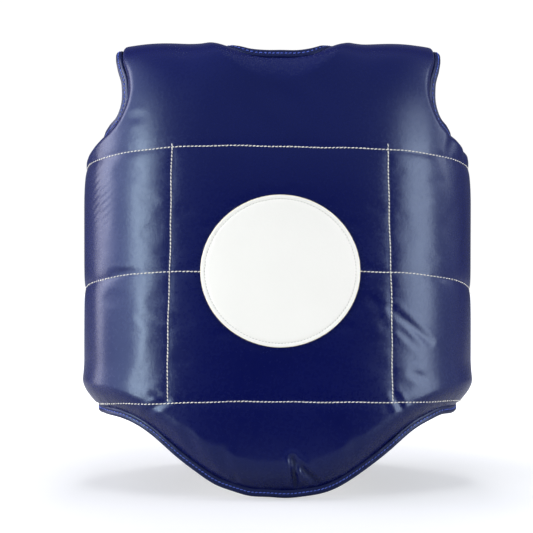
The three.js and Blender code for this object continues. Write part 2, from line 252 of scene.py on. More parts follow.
@dataclass
class TorsoForm:
    """The wearer's side of the vest: a rounded ring that arches in to the shoulder ridge."""

    shift_y: float
    half_width: float = 193.0
    half_depth: float = 120.0
    squareness: float = 2.6
    rear_drop: float = 0.1
    arch_start: float = 385.0
    neck_rise: float = 98.0
    arm_rise: float = 103.0
    climb: float = 90.0
    arm_squareness: float = 4.0
    neck_squareness: float = 8.0
    neck_reach: float = 110.0
    neck_half_width: float = 59.0
    wing_flare: float = 6.0
    wing_inner: float = 120.0
    wing_span: float = 70.0
    wing_top: float = 150.0
    wing_fade: float = 70.0
    arch_count: int = 12
    probe: float = 0.6
    search_rows: int = 2000

    def __post_init__(self) -> None:
        """Works out the ring, the arches and their lengths."""
        self.back_drop = self.rear_drop * self.half_depth * 2
        self.girth = RoundedQuarter(self.half_width, self.half_depth, self.squareness)
        powers = np.linspace(self.arm_squareness, self.neck_squareness, self.arch_count + 1)
        self.arches = [RoundedQuarter(self.arm_rise, self.half_depth, power) for power in powers]
        self.side = self.girth.length
        self.ridge = self.arch_start + self.arches[0].length

    def ring(self, p: Array) -> tuple[Array, Array]:
        """Place round the level ring, which runs on past the back centre.

        Args:
            p: Pattern places, round the girth.

        Returns:
            Places across and front to back, in millimetres.
        """
        turn = np.where(p > 2 * self.side, p - 4 * self.side, p)
        turn = np.where(turn < -2 * self.side, turn + 4 * self.side, turn)
        reach = np.abs(turn)
        x, y = self.girth.at(np.minimum(reach, 2 * self.side - reach))
        return np.where(turn < 0, -x, x), np.where(reach < self.side, -y, y)

    def arch(self, x: Array, y: Array, q: Array) -> tuple[Array, Array]:
        """Height on the arch over a ring place, and the share of its depth that is left.

        Args:
            x: Ring place, across.
            y: Ring place, front to back.
            q: Walk up the wall and the arch.

        Returns:
            Heights and depth shares.
        """
        upright = np.where(y < 0, self.arch_count * (1 - smoother(np.abs(x) / self.neck_reach)), 0.0)
        first = np.minimum(self.arch_count - 1, np.floor(upright)).astype(int)
        share = np.clip((q - self.arch_start) / (self.ridge - self.arch_start), 0.0, 1.0)
        spots = np.array([arch.at(share * arch.length) for arch in self.arches])
        order = np.arange(len(q))
        spot = lerp(spots[first, :, order], spots[first + 1, :, order], (upright - first)[:, None])
        outward = smoother((np.abs(x) - self.neck_half_width) / self.climb)
        lift = lerp(self.neck_rise / self.arm_rise, 1.0, outward)
        risen = self.arch_start + spot[:, 0] * lift
        return np.where(q > self.arch_start, risen, q), spot[:, 1] / self.half_depth

    def flare(self, x: Array, q: Array) -> Array:
        """How far the wings lean out towards the hem."""
        outer = smooth((np.abs(x) - self.wing_inner) / self.wing_span)
        return self.wing_flare * outer * smooth((self.wing_top - q) / self.wing_fade)

    def point(self, p: Array, q: Array) -> Array:
        """Points of the wearer's side in millimetres, one a row.

        Args:
            p: Pattern places, round the girth.
            q: Pattern places, up the wall.

        Returns:
            Points, with the middle of the form at x = y = 0.
        """
        x, y = self.ring(p)
        height, depth = self.arch(x, y, q)
        y = y * depth
        x = x + np.sign(x) * self.flare(x, q)
        return np.stack([x, y, height - self.rear_drop * (y + self.half_depth)], axis=1)

    def normal(self, p: Array, q: Array) -> Array:
        """Directions that leave the body, one a row.

        Args:
            p: Pattern places, round the girth.
            q: Pattern places, up the wall.

        Returns:
            Unit vectors.
        """
        along = self.point(p + self.probe, q) - self.point(p - self.probe, q)
        up = self.point(p, q + self.probe) - self.point(p, q - self.probe)
        out = np.cross(along, up)
        return out / np.linalg.norm(out, axis=1, keepdims=True)

    def place(self, p: Array, q: Array, w: Array) -> Array:
        """Points of the finished vest in metres, one a row.

        Args:
            p: Pattern places, round the girth.
            q: Pattern places, up the wall.
            w: Heights over the wearer's side.

        Returns:
            Points in the frame of the part.
        """
        p, q, w = (np.asarray(value, dtype=float) for value in (p, q, w))
        spot = self.point(p, q) + self.normal(p, q) * w[:, None]
        return (spot + (0.0, self.shift_y, 0.0)) * METRES

    def front_spot(self, across: float, height: float) -> tuple[float, float]:
        """Pattern place on the front at a half width and a height.

        Args:
            across: Half width.
            height: Height over the floor.

        Returns:
            The place's p and q.
        """
        p = float(self.girth.across(across))
        rows = np.linspace(0.0, self.ridge, self.search_rows)
        heights = self.point(np.full(rows.shape, p), rows)[:, 2]
        return p, float(np.interp(height, heights, rows))


class EdgeLine:
    """An edge of the pattern as evenly spaced points, with the area beyond it that is cut away."""

    SPACING = 1.0
    OUTLINE_STEP = 5

    def __init__(self, points: Array, inner_side: int, corners: Sequence[tuple[float, float]]) -> None:
        """Spaces the points evenly.

        Args:
            points: Points along the edge.
            inner_side: 1 where the padding lies to the left of the walk, else -1.
            corners: Corners that close the outline of the area beyond the edge.
        """
        lengths = walked(points)
        self.length = float(lengths[-1])
        self.marks = np.linspace(0.0, self.length, round(self.length / self.SPACING) + 1)
        spaced = [np.interp(self.marks, lengths, points[:, axis]) for axis in (0, 1)]
        self.points = np.stack(spaced, axis=1)
        slope = np.gradient(self.points, axis=0)
        slope /= np.linalg.norm(slope, axis=1, keepdims=True)
        self.inward = inner_side * np.stack([-slope[:, 1], slope[:, 0]], axis=1)
        self.outline = np.vstack([self.points[:: self.OUTLINE_STEP], self.points[-1:], corners])
        self.tree = KDTree(len(self.points))
        for index, (p, q) in enumerate(self.points):
            self.tree.insert((p, q, 0.0), index)
        self.tree.balance()

    def nearest(self, p: Array, q: Array) -> tuple[Array, Array]:
        """Distance to the nearest point of the line, and the walk up to that point.

        Args:
            p: Pattern places, round the girth.
            q: Pattern places, up the wall.

        Returns:
            Distances and walks.
        """
        found = [self.tree.find((across, up, 0.0)) for across, up in zip(p, q)]
        walk = self.marks[[index for _, index, _ in found]]
        return np.array([distance for _, _, distance in found]), walk

    def beyond(self, p: Array, q: Array) -> Array:
        """Which places lie in the area that is cut away.

        Args:
            p: Pattern places, round the girth.
            q: Pattern places, up the wall.

        Returns:
            One truth value for each place.
        """
        inside = np.zeros(p.shape, dtype=bool)
        for (p0, q0), (p1, q1) in zip(self.outline, np.roll(self.outline, -1, axis=0)):
            if q0 != q1:
                crossed = (q0 > q) != (q1 > q)
                inside ^= crossed & (p < (p1 - p0) * (q - q0) / (q1 - q0) + p0)
        return inside

    def clearance(self, p: Array, q: Array) -> Array:
        """Distance in from the edge, negative beyond it."""
        distance, _ = self.nearest(p, q)
        return np.where(self.beyond(p, q), -distance, distance)

    def at(self, walk: Array, inset: Array) -> tuple[Array, Array]:
        """Pattern places at a walk along the edge and an inset from it.

        Args:
            walk: Distances walked along the edge.
            inset: Distances in from it.

        Returns:
            Places round the girth and up the wall.
        """
        spot = []
        for axis in (0, 1):
            base = np.interp(walk, self.marks, self.points[:, axis])
            spot.append(base + inset * np.interp(walk, self.marks, self.inward[:, axis]))
        return spot[0], spot[1]


@dataclass(frozen=True)
class QuiltRow:
    """One level row of quilting, which sinks on its way round the sides."""

    height: float
    tilt: float
    bow: float
    sag_left: float
    sag_right: float
    flat: float = 112.0
    end: float = 200.0
    sag_power: float = 1.5

    def at(self, p: Array) -> Array:
        """Heights of the row at places round the girth.

        Args:
            p: Pattern places, round the girth.

        Returns:
            Places up the wall.
        """
        level = np.clip(p, -self.flat, self.flat)
        beyond = np.maximum(0.0, np.abs(p) - self.flat) / (self.end - self.flat)
        sag = np.where(p < 0, self.sag_left, self.sag_right) * beyond**self.sag_power
        return self.height + self.tilt * level - self.bow * (level / self.flat) ** 2 - sag


@dataclass
class Pattern:
    """Edge lines, seams and quilting of the flat pattern."""

    form: TorsoForm
    tape_width: float = 9.0
    sewn_gap: float = 0.5
    seam_behind: float = 20.0
    seam_gap: float = 0.3
    front_flat: float = 0.0
    back_flat: float = 78.0
    wing_start: float = 175.0
    wing_height: float = 81.0
    hem_lag: float = 1.42
    armhole_top: float = 178.0
    armhole: tuple[tuple[float, float], ...] = (
        (172.0, 458.0), (167.0, 440.0), (167.5, 422.0), (172.5, 408.0), (183.0, 397.0), (191.0, 389.0))
    armhole_foot: float = 381.0
    neck_drop: float = 109.0
    neck_squareness: float = 3.4
    opening_half_width: float = 45.0
    flare_length: float = 75.0
    top_row: QuiltRow = QuiltRow(368.0, tilt=-0.0125, bow=0.0, sag_left=5.4, sag_right=3.2)
    middle_row: QuiltRow = QuiltRow(239.5, tilt=0.0, bow=0.3, sag_left=6.6, sag_right=8.2)
    foot_row: QuiltRow = QuiltRow(104.0, tilt=0.0, bow=1.8, sag_left=4.2, sag_right=0.4)
    column_top: float = 106.9
    column_foot: float = 111.6
    disc_radius: float = 79.0
    disc_height: float = 239.0
    overrun: float = 12.0
    armhole_overrun: float = 14.0
    far: float = 60.0
    hem_samples: int = 900
    neck_samples: int = 160
    opening_samples: int = 300
    armhole_samples: int = 24

    def __post_init__(self) -> None:
        """Draws the edge lines."""
        form = self.form
        self.inset = self.tape_width + self.sewn_gap
        self.side_seam = form.side + self.seam_behind
        self.back_edge = 2 * form.side - float(form.girth.across(self.opening_half_width))
        self.hem_end = self.back_edge + self.overrun
        low = -self.far
        high = form.ridge + self.far
        centre = 2 * form.side + self.far
        self.hem = EdgeLine(self._hem(), 1, [(self.hem_end, low), (-self.hem_end, low)])
        self.armhole_line = EdgeLine(self._armhole(), -1, [(form.side, high)])
        self.neck = EdgeLine(self._neck(), -1, [(0.0, high)])
        self.opening = EdgeLine(self._opening(), 1, [(centre, high), (centre, low)])

    def _hem(self) -> Array:
        """Scalloped hem: low and level in the middle, rising to the wings.

        Returns:
            Points of the line, one a row.
        """
        p = np.linspace(-self.hem_end, self.hem_end, self.hem_samples)
        x, y = self.form.ring(p)
        flat = np.where(y < 0, self.front_flat, self.back_flat)
        climb = np.clip((np.abs(x) - flat) / (self.wing_start - flat), 0.0, 1.0)
        height = self.wing_height * smooth(climb**self.hem_lag)
        return np.stack([p, height + self.form.rear_drop * (y + self.form.half_depth)], axis=1)

    def _armhole(self) -> Array:
        """Right armhole, from the ridge down the front, round the foot and up the back.

        Returns:
            Points of the line, one a row.
        """
        form = self.form
        top = float(form.girth.across(self.armhole_top))
        front = [form.front_spot(across, height) for across, height in self.armhole]
        half = [(top, form.ridge + self.armhole_overrun), (top, form.ridge), *front]
        foot = form.front_spot(form.half_width, self.armhole_foot)
        rear = [(2 * form.side - p, q) for p, q in reversed(half)]
        return catmull_rom(np.array([*half, foot, *rear]), self.armhole_samples)

    def _neck(self) -> Array:
        """Front half of the neck hole, from the left ridge to the right one.

        Returns:
            Points of the line, one a row.
        """
        quarter = RoundedQuarter(self.form.neck_half_width, self.neck_drop, self.neck_squareness)
        across, down = quarter.at(np.linspace(0.0, quarter.length, self.neck_samples))
        half = np.stack([across, self.form.ridge - down], axis=1)
        half = np.vstack([half, half[-1:] + (0.0, self.overrun)])
        return np.vstack([half[:0:-1] * (-1.0, 1.0), half])

    def _opening(self) -> Array:
        """Right edge of the opening, which runs up the whole back to the neck.

        Returns:
            Points of the line, one a row.
        """
        form = self.form
        q = np.linspace(form.back_drop - self.overrun, form.ridge + self.overrun, self.opening_samples)
        flare = smooth((q - (form.ridge - self.flare_length)) / self.flare_length)
        across = lerp(self.opening_half_width, form.neck_half_width, flare)
        return np.stack([2 * form.side - form.girth.across(across), q], axis=1)

    def column(self, q: Array) -> Array:
        """Distance of the upright quilting from the front centre at a height."""
        share = (q - self.foot_row.height) / (self.top_row.height - self.foot_row.height)
        return lerp(self.column_foot, self.column_top, np.clip(share, 0.0, 1.0))

    def off_disc(self, p: Array, q: Array) -> Array:
        """Distance out from the edge of the round patch, negative under it."""
        return np.hypot(p, q - self.disc_height) - self.disc_radius


# Padding


@dataclass(frozen=True)
class Crease:
    """One soft fold of the leather, from one pattern place to another."""

    start: tuple[float, float]
    end: tuple[float, float]
    depth: float
    width: float
    end_share: float = 0.35
    bank_height: float = 0.45
    bank_place: float = 1.9
    bank_width: float = 0.9

    def height(self, p: Array, q: Array) -> Array:
        """Rise of the leather round the fold, with a valley and two low banks.

        Args:
            p: Pattern places, round the girth.
            q: Pattern places, up the wall.

        Returns:
            Heights, negative in the valley.
        """
        (p0, q0), (p1, q1) = self.start, self.end
        along = np.array([p1 - p0, q1 - q0])
        share = ((p - p0) * along[0] + (q - q0) * along[1]) / (along @ along)
        held = np.clip(share, 0.0, 1.0)
        distance = np.hypot(p - p0 - held * along[0], q - q0 - held * along[1])
        fade = self.end_share + (1 - self.end_share) * np.sin(math.pi * held)
        off_bank = distance - self.bank_place * self.width
        bank = self.bank_height * bell(off_bank, self.bank_width * self.width)
        return self.depth * fade * (bank - bell(distance, self.width))


@dataclass(frozen=True)
class Ripple:
    """A patch of short parallel folds."""

    centre: tuple[float, float]
    reach: tuple[float, float]
    pitch: float
    slant: float
    depth: float

    def height(self, p: Array, q: Array) -> Array:
        """Rise of the leather in the patch.

        Args:
            p: Pattern places, round the girth.
            q: Pattern places, up the wall.

        Returns:
            Heights round 0.
        """
        across = p - self.centre[0]
        up = q - self.centre[1]
        along = up * math.cos(self.slant) + across * math.sin(self.slant)
        wave = np.sin(2 * math.pi * along / self.pitch)
        return self.depth * wave * bell(across, self.reach[0]) * bell(up, self.reach[1])


CREASES = (
    Crease((-170.0, 240.0), (-142.0, 241.5), 0.75, 3.5),
    Crease((-160.0, 226.0), (-160.0, 128.0), 1.0, 15.0),
    Crease((-140.0, 193.0), (-116.0, 186.0), 0.35, 4.0),
    Crease((-110.0, 105.0), (-134.0, 93.0), 1.0, 3.5),
    Crease((-126.0, 113.0), (-112.0, 106.0), 0.7, 3.0),
    Crease((-134.0, 84.0), (-134.0, 60.0), 0.5, 6.0),
    Crease((-158.0, 404.0), (-140.0, 403.0), 0.4, 5.0),
    Crease((110.0, 200.0), (150.0, 166.0), 0.9, 4.0),
    Crease((110.0, 190.0), (138.0, 160.0), 0.5, 4.0),
    Crease((133.0, 133.0), (143.0, 127.0), 0.6, 4.0),
    Crease((113.0, 111.0), (123.0, 91.0), 0.9, 3.5),
    Crease((88.0, 214.0), (98.0, 202.0), 0.35, 5.0),
    Crease((98.0, 191.0), (107.0, 179.0), 0.35, 5.0),
    Crease((190.0, 404.0), (176.0, 372.0), 1.1, 5.0),
    Crease((222.0, 396.0), (200.0, 366.0), 1.1, 5.0),
    Crease((12.0, 46.0), (17.0, 8.0), 4.5, 3.0),
    Crease((13.0, 44.0), (40.0, 16.0), 4.0, 3.2),
    Crease((-95.0, 72.0), (-82.0, 50.0), 1.2, 5.0),
    Crease((-60.0, 52.0), (-52.0, 32.0), 1.1, 5.0),
    Crease((-47.0, 28.0), (-45.0, 10.0), 1.3, 3.0),
    Crease((78.0, 66.0), (70.0, 44.0), 0.6, 6.0),
    Crease((-12.0, 434.0), (16.0, 406.0), 1.0, 10.0),
    Crease((-34.0, 444.0), (-18.0, 420.0), 0.5, 9.0),
    Crease((32.0, 448.0), (48.0, 424.0), 0.5, 10.0),
    Crease((-70.0, 440.0), (-40.0, 402.0), 0.5, 13.0),
)
RIPPLES = (
    Ripple((-187.0, 321.0), (11.0, 25.0), 6.8, -0.57, 0.42),
)


@dataclass
class Padding:
    """Thickness of the padding over the pattern, with the relief of its leather."""

    pattern: Pattern
    full_front: float = 26.0
    shoulder: float = 6.0
    fade: float = 260.0
    full_back: float = 14.0
    back_fade: float = 90.0
    stitched: float = 25.5
    flank_pinch: float = 1.5
    seam: float = 12.0
    edge: float = 4.8
    wing_edge: float = 8.0
    tucked: float = 3.3
    lip: float = 9.1
    lip_rise: float = 1.6
    arm_front: float = 16.0
    arm_foot: float = 22.0
    arm_ridge: float = 9.0
    neck: float = 26.0
    neck_side: float = 16.0
    belly: float = 34.0
    wing: float = 25.0
    back_edge: float = 26.0
    seam_roll: float = 16.0
    hem_sides: Ramp = Ramp(0.0, 190.0)
    arm_sides: Ramp = Ramp(185.0, 50.0)
    arm_fold: Ramp = Ramp(150.0, -45.0)
    neck_sides: Ramp = Ramp(12.0, 45.0)
    flanks: Ramp = Ramp(120.0, 90.0)
    wing_foot: Ramp = Ramp(200.0, -60.0)
    disc_margin: Ramp = Ramp(1.0, 9.0)
    disc_clear: float = 14.0
    tight_share: float = 0.75
    tight_reach: float = 3.2
    loose_reach: float = 10.0
    flank_reach: float = 7.0
    gather: float = 0.42
    gather_reach: float = 9.0
    gather_pitch: float = 13.0
    pucker: float = 0.13
    pucker_reach: float = 8.0
    pucker_pitch: float = 10.5
    ease_wander: Drift = Drift(1.1, 5.1, 1.7, 2.3)
    ease_level: float = 0.55
    ease_swing: Drift = Drift(0.45, 3.7, 0.0, 1.0)
    sway: float = 0.03
    sway_reach: float = 14.0
    back_sway: float = 0.018
    back_still: float = 20.0
    relief_rise: float = 6.0
    lining_rest: float = 0.15
    lining_pull: float = 2.2
    lining_reach: float = 7.0
    column_walk: float = 40.0
    wave_count: int = 9
    wave_lengths: tuple[float, float] = (55.0, 150.0)
    seed: int = 11

    def __post_init__(self) -> None:
        """Draws the slow waves that keep the leather from lying perfectly even."""
        source = np.random.default_rng(self.seed)
        heading = source.uniform(0.0, 2 * math.pi, self.wave_count)
        number = 2 * math.pi / source.uniform(*self.wave_lengths, self.wave_count)
        self.waves = np.stack([np.cos(heading) * number, np.sin(heading) * number], axis=1)
        self.phases = source.uniform(0.0, 2 * math.pi, self.wave_count)

    def waviness(self, p: Array, q: Array) -> Array:
        """Sum of the slow waves at places of the pattern."""
        angle = np.outer(p, self.waves[:, 0]) + np.outer(q, self.waves[:, 1]) + self.phases
        return np.sin(angle).sum(axis=1)

    def stitch_lines(self, p: Array, q: Array) -> tuple[Array, Array, Array]:
        """Places of the quilting as seen from the leather.

        Args:
            p: Pattern places, round the girth.
            q: Pattern places, up the wall.

        Returns:
            Distance to the nearest line, walk along that line, and distance to the nearest row.
        """
        pattern = self.pattern
        top, middle, foot = pattern.top_row.at(p), pattern.middle_row.at(p), pattern.foot_row.at(p)
        clear = np.maximum(0.0, self.disc_clear - pattern.off_disc(p, q))
        beyond = np.maximum(0.0, np.maximum(q - top, foot - q))
        upright = np.hypot(np.abs(p) - pattern.column(q), beyond)
        level = np.minimum.reduce([np.abs(q - top), np.abs(q - foot), np.hypot(q - middle, clear)])
        run = np.where(level < upright, p, q + self.column_walk)
        return np.minimum(level, upright), run, level

    def ease(self, walk: Array, pitch: float) -> Array:
        """Uneven little gathers along a sewn line.

        Args:
            walk: Distances along the line.
            pitch: Mean length of one gather.

        Returns:
            Heights from -1 to 1.
        """
        count = walk / pitch
        wander = self.ease_wander.at(count, phase=1.0)
        swell = self.ease_level + self.ease_swing.at(count, phase=2.0)
        return np.sin(2 * math.pi * count + wander) * swell

    def relief(self, p: Array, q: Array, clear: Array, walk: Array) -> Array:
        """Folds, gathers and slow waves of the front.

        Args:
            p: Pattern places, round the girth.
            q: Pattern places, up the wall.
            clear: Distance in from the nearest edge.
            walk: Walk along that edge.

        Returns:
            Heights to add to the padding.
        """
        quilted, run, _ = self.stitch_lines(p, q)
        off_tape = np.maximum(clear - self.lip, 0.0)
        rise = self.sway * self.waviness(p, q) * (1 - np.exp(-quilted / self.sway_reach))
        rise += self.pucker * np.exp(-quilted / self.pucker_reach) * self.ease(run, self.pucker_pitch)
        rise += self.gather * np.exp(-off_tape / self.gather_reach) * self.ease(walk, self.gather_pitch)
        for fold in (*CREASES, *RIPPLES):
            rise += fold.height(p, q)
        off_disc = self.disc_margin.at(self.pattern.off_disc(p, q))
        return rise * off_disc * smooth((clear - self.lip) / self.relief_rise)

    def filled(self, clears: Sequence[Array], reaches: Sequence[Array | float]) -> Array:
        """Share of the padding that is filled out between the tapes.

        Args:
            clears: Distance in from each edge.
            reaches: How far the padding takes to fill out from each edge.

        Returns:
            Shares from 0 to 1.
        """
        inset = self.pattern.inset
        return np.minimum.reduce([
            rolled(np.maximum(0.0, clear - inset), reach) for clear, reach in zip(clears, reaches)])

    def front(self, p: Array, q: Array, with_relief: bool = True) -> Array:
        """Height of the leather over the wearer's side, on the front panel.

        Args:
            p: Pattern places, round the girth.
            q: Pattern places, up the wall.
            with_relief: Whether the small folds are added.

        Returns:
            Heights in millimetres.
        """
        pattern = self.pattern
        reach = np.abs(p)
        walks, clears = [], []
        for line, across in ((pattern.hem, p), (pattern.armhole_line, reach), (pattern.neck, p)):
            distance, walk = line.nearest(across, q)
            walks.append(walk)
            clears.append(distance)
        nearest = np.argmin(clears, axis=0)
        clear = np.min(clears, axis=0)
        walk = np.take_along_axis(np.array(walks), nearest[None], axis=0)[0]
        below_ridge = pattern.form.ridge - q
        arm_reach = lerp(self.arm_front, self.arm_foot, self.arm_sides.at(reach))
        reaches = (
            lerp(self.belly, self.wing, self.hem_sides.at(reach)),
            lerp(arm_reach, self.arm_ridge, self.arm_fold.at(below_ridge)),
            lerp(self.neck, self.neck_side, self.neck_sides.at(reach)),
        )
        edge = self.filled(clears, reaches)
        seam = rolled(np.minimum(pattern.side_seam - reach, below_ridge), self.seam_roll)
        flank = self.flanks.at(reach)
        quilted, _, level = self.stitch_lines(p, q)
        loose = (1 - self.tight_share) * np.exp(-quilted / self.loose_reach)
        pinch = self.tight_share * np.exp(-quilted / self.tight_reach) + loose
        full = lerp(self.full_front, self.stitched, pinch)
        full = full - self.flank_pinch * flank * np.exp(-level / self.flank_reach)
        full = lerp(full, self.shoulder, smooth(1 - below_ridge / self.fade))
        foot = lerp(self.edge, self.wing_edge, flank * self.wing_foot.at(q))
        body = lerp(foot, np.minimum(full, lerp(self.seam, full, seam)), edge)
        height = lerp(self.tucked, body, smooth((clear - self.lip) / self.lip_rise))
        return height + self.relief(p, q, clear, walk) if with_relief else height

    def back(self, p: Array, q: Array) -> Array:
        """Height of the leather over the wearer's side, on the right back panel.

        Args:
            p: Pattern places, round the girth.
            q: Pattern places, up the wall.

        Returns:
            Heights in millimetres.
        """
        pattern = self.pattern
        lines = (pattern.hem, pattern.armhole_line, pattern.opening)
        clears = [line.nearest(p, q)[0] for line in lines]
        edge = self.filled(clears, (self.wing, self.arm_foot, self.back_edge))
        below_ridge = pattern.form.ridge - q
        seam = rolled(np.minimum(p - pattern.side_seam, below_ridge), self.seam_roll)
        full = lerp(self.full_back, self.shoulder, smooth(1 - below_ridge / self.back_fade))
        body = lerp(self.edge, np.minimum(full, lerp(self.seam, full, seam)), edge)
        clear = np.min(clears, axis=0)
        body = body + self.back_sway * self.waviness(p, q) * smooth((clear - self.lip) / self.back_still)
        return lerp(self.tucked, body, smooth((clear - self.lip) / self.lip_rise))

    def wearer_side(self, p: Array, q: Array, quilted: bool) -> Array:
        """Height of the lining, drawn in a little along the quilting.

        Args:
            p: Pattern places, round the girth.
            q: Pattern places, up the wall.
            quilted: Whether quilting goes through the panel.

        Returns:
            Heights in millimetres.
        """
        if not quilted:
            return np.full(p.shape, self.lining_rest)
        distance, _, _ = self.stitch_lines(p, q)
        return self.lining_rest + self.lining_pull * np.exp(-distance / self.lining_reach)


# Finishes


class Signal:
    """One value of a shader inside a Python expression; each operator adds a Math node."""

    def __init__(self, surface: "Surface", socket: bpy.types.NodeSocket) -> None:
        """Wraps an output socket of a surface."""
        self.surface = surface
        self.socket = socket

    def math(self, operation: str, first: object, second: object) -> "Signal":
        """Adds one Math node."""
        return self.surface.signal("ShaderNodeMath", 0, {"operation": operation}, {0: first, 1: second})

    def __add__(self, other: object) -> "Signal":
        """This value plus another."""
        return self.math("ADD", self, other)

    def __radd__(self, other: object) -> "Signal":
        """Another value plus this one."""
        return self.math("ADD", other, self)

    def __sub__(self, other: object) -> "Signal":
        """This value less another."""
        return self.math("SUBTRACT", self, other)

    def __rsub__(self, other: object) -> "Signal":
        """Another value less this one."""
        return self.math("SUBTRACT", other, self)

    def __mul__(self, other: object) -> "Signal":
        """This value times another."""
        return self.math("MULTIPLY", self, other)

    def __rmul__(self, other: object) -> "Signal":
        """Another value times this one."""
        return self.math("MULTIPLY", other, self)


@dataclass(frozen=True)
class Easing:
    """A level that eases from first to last while some measure goes from start to end."""

    start: float
    end: float
    first: float
    last: float


class Surface:
    """A node tree that is written node by node."""

    def __init__(self, tree: bpy.types.NodeTree) -> None:
        """Starts with an empty tree."""
        self.tree = tree
        tree.nodes.clear()

    def node(self, kind: str, settings: dict | None = None, inputs: Inputs | None = None) -> bpy.types.Node:
        """Adds one node.

        Args:
            kind: Type of the node.
            settings: Its own settings, which are set first.
            inputs: Values or signals for its sockets.

        Returns:
            The new node.
        """
        made = self.tree.nodes.new(kind)
        for name, value in (settings or {}).items():
            setattr(made, name, value)
        for key, value in (inputs or {}).items():
            if isinstance(value, Signal):
                self.tree.links.new(value.socket, made.inputs[key])
            else:
                made.inputs[key].default_value = value
        return made

    def signal(self, kind: str, output: str | int, settings: dict | None = None,
               inputs: Inputs | None = None) -> Signal:
        """Adds one node and gives one of its outputs."""
        return Signal(self, self.node(kind, settings, inputs).outputs[output])

    def place(self) -> Signal:
        """Object coordinates, in metres."""
        return self.signal("ShaderNodeTexCoord", "Object")

    def noise(self, place: Signal, scale: float, detail: float = 2.0) -> Signal:
        """Cloudy value round 0.5, with so many clouds a metre."""
        return self.signal("ShaderNodeTexNoise", "Fac", {},
                           {"Vector": place, "Scale": scale, "Detail": detail})

    def cells(self, place: Signal, scale: float) -> Signal:
        """Distance to the middle of the nearest grain cell, with so many cells a metre."""
        return self.signal("ShaderNodeTexVoronoi", "Distance", {"feature": "F1"},
                           {"Vector": place, "Scale": scale})

    def eased(self, value: Signal, easing: Easing) -> Signal:
        """Level that is reached at a value of the measure.

        Args:
            value: Value of the measure.
            easing: Both ends of the measure, with the level at each.

        Returns:
            The level.
        """
        levels = {1: easing.start, 2: easing.end, 3: easing.first, 4: easing.last}
        return self.signal("ShaderNodeMapRange", 0, {"interpolation_type": "SMOOTHSTEP"},
                           {"Value": value, **levels})

    def blend(self, share: Signal, start: Colour, end: Colour) -> Signal:
        """Colour a share of the way from one to another."""
        return self.signal("ShaderNodeMix", 2, {"data_type": "RGBA"}, {0: share, 6: start, 7: end})

    def bump(self, height: Signal, strength: float, distance: float) -> Signal:
        """Normal of a surface with a fine relief."""
        return self.signal("ShaderNodeBump", "Normal", {},
                           {"Height": height, "Strength": strength, "Distance": distance})

    def shade(self, inputs: Inputs) -> None:
        """Ends the tree with a surface shader."""
        shader = self.signal("ShaderNodeBsdfPrincipled", "BSDF", {}, inputs)
        self.node("ShaderNodeOutputMaterial", {}, {"Surface": shader})


def new_surface(name: str) -> tuple[bpy.types.Material, Surface]:
    """A new material and its empty tree.

    Args:
        name: Name of the material.

    Returns:
        The material, and its tree to write on.
    """
    material = bpy.data.materials.new(name)
    material.use_nodes = True
    return material, Surface(material.node_tree)


@dataclass(frozen=True)
class Leather:
    """Synthetic leather with a fine grain."""

    name: str
    tone: Colour
    deep: Colour
    roughness: float
    grain: float = 850.0
    grain_depth: float = 0.00016
    grain_strength: float = 0.32
    spread: float = 0.10
    sheen: Colour = FULL_LIGHT
    fibre_ratio: float = 2.1
    pebble_ratio: float = 0.35
    pebble_spread: float = 0.12
    cloud_scale: float = 16.0
    detail: float = 3.0
    cell_relief: float = 0.6
    fibre_relief: float = 0.3
    pebble_relief: float = 1.5
    cloud_tone: float = 0.8
    cell_tone: float = 0.25

    def material(self) -> bpy.types.Material:
        """Makes the material.

        Returns:
            The new material.
        """
        material, surface = new_surface(self.name)
        place = surface.place()
        cells = surface.cells(place, self.grain)
        fibre = surface.noise(place, self.grain * self.fibre_ratio, self.detail)
        pebble = surface.noise(place, self.grain * self.pebble_ratio)
        cloud = surface.noise(place, self.cloud_scale, self.detail)
        relief = cells * self.cell_relief + fibre * self.fibre_relief + pebble * self.pebble_relief
        share = cloud * self.cloud_tone + cells * self.cell_tone
        surface.shade({
            "Base Color": surface.blend(share, self.deep, self.tone),
            "Roughness": self.roughness + (cloud - 0.5) * self.spread + (pebble - 0.5) * self.pebble_spread,
            "Normal": surface.bump(relief, self.grain_strength, self.grain_depth),
            "Specular Tint": self.sheen,
        })
        return material


@dataclass(frozen=True)
class Thread:
    """Twisted sewing thread."""

    name: str
    tone: Colour
    shade: Colour
    roughness: float = 0.55
    spread: float = 0.2
    twist: float = 1500.0
    ply_depth: float = 0.0003
    ply_strength: float = 0.5

    def material(self) -> bpy.types.Material:
        """Makes the material.

        Returns:
            The new material.
        """
        material, surface = new_surface(self.name)
        place = surface.place()
        ply = surface.noise(place, self.twist)
        surface.shade({
            "Base Color": surface.blend(ply, self.shade, self.tone),
            "Roughness": self.roughness + (ply - 0.5) * self.spread,
            "Normal": surface.bump(ply, self.ply_strength, self.ply_depth),
        })
        return material


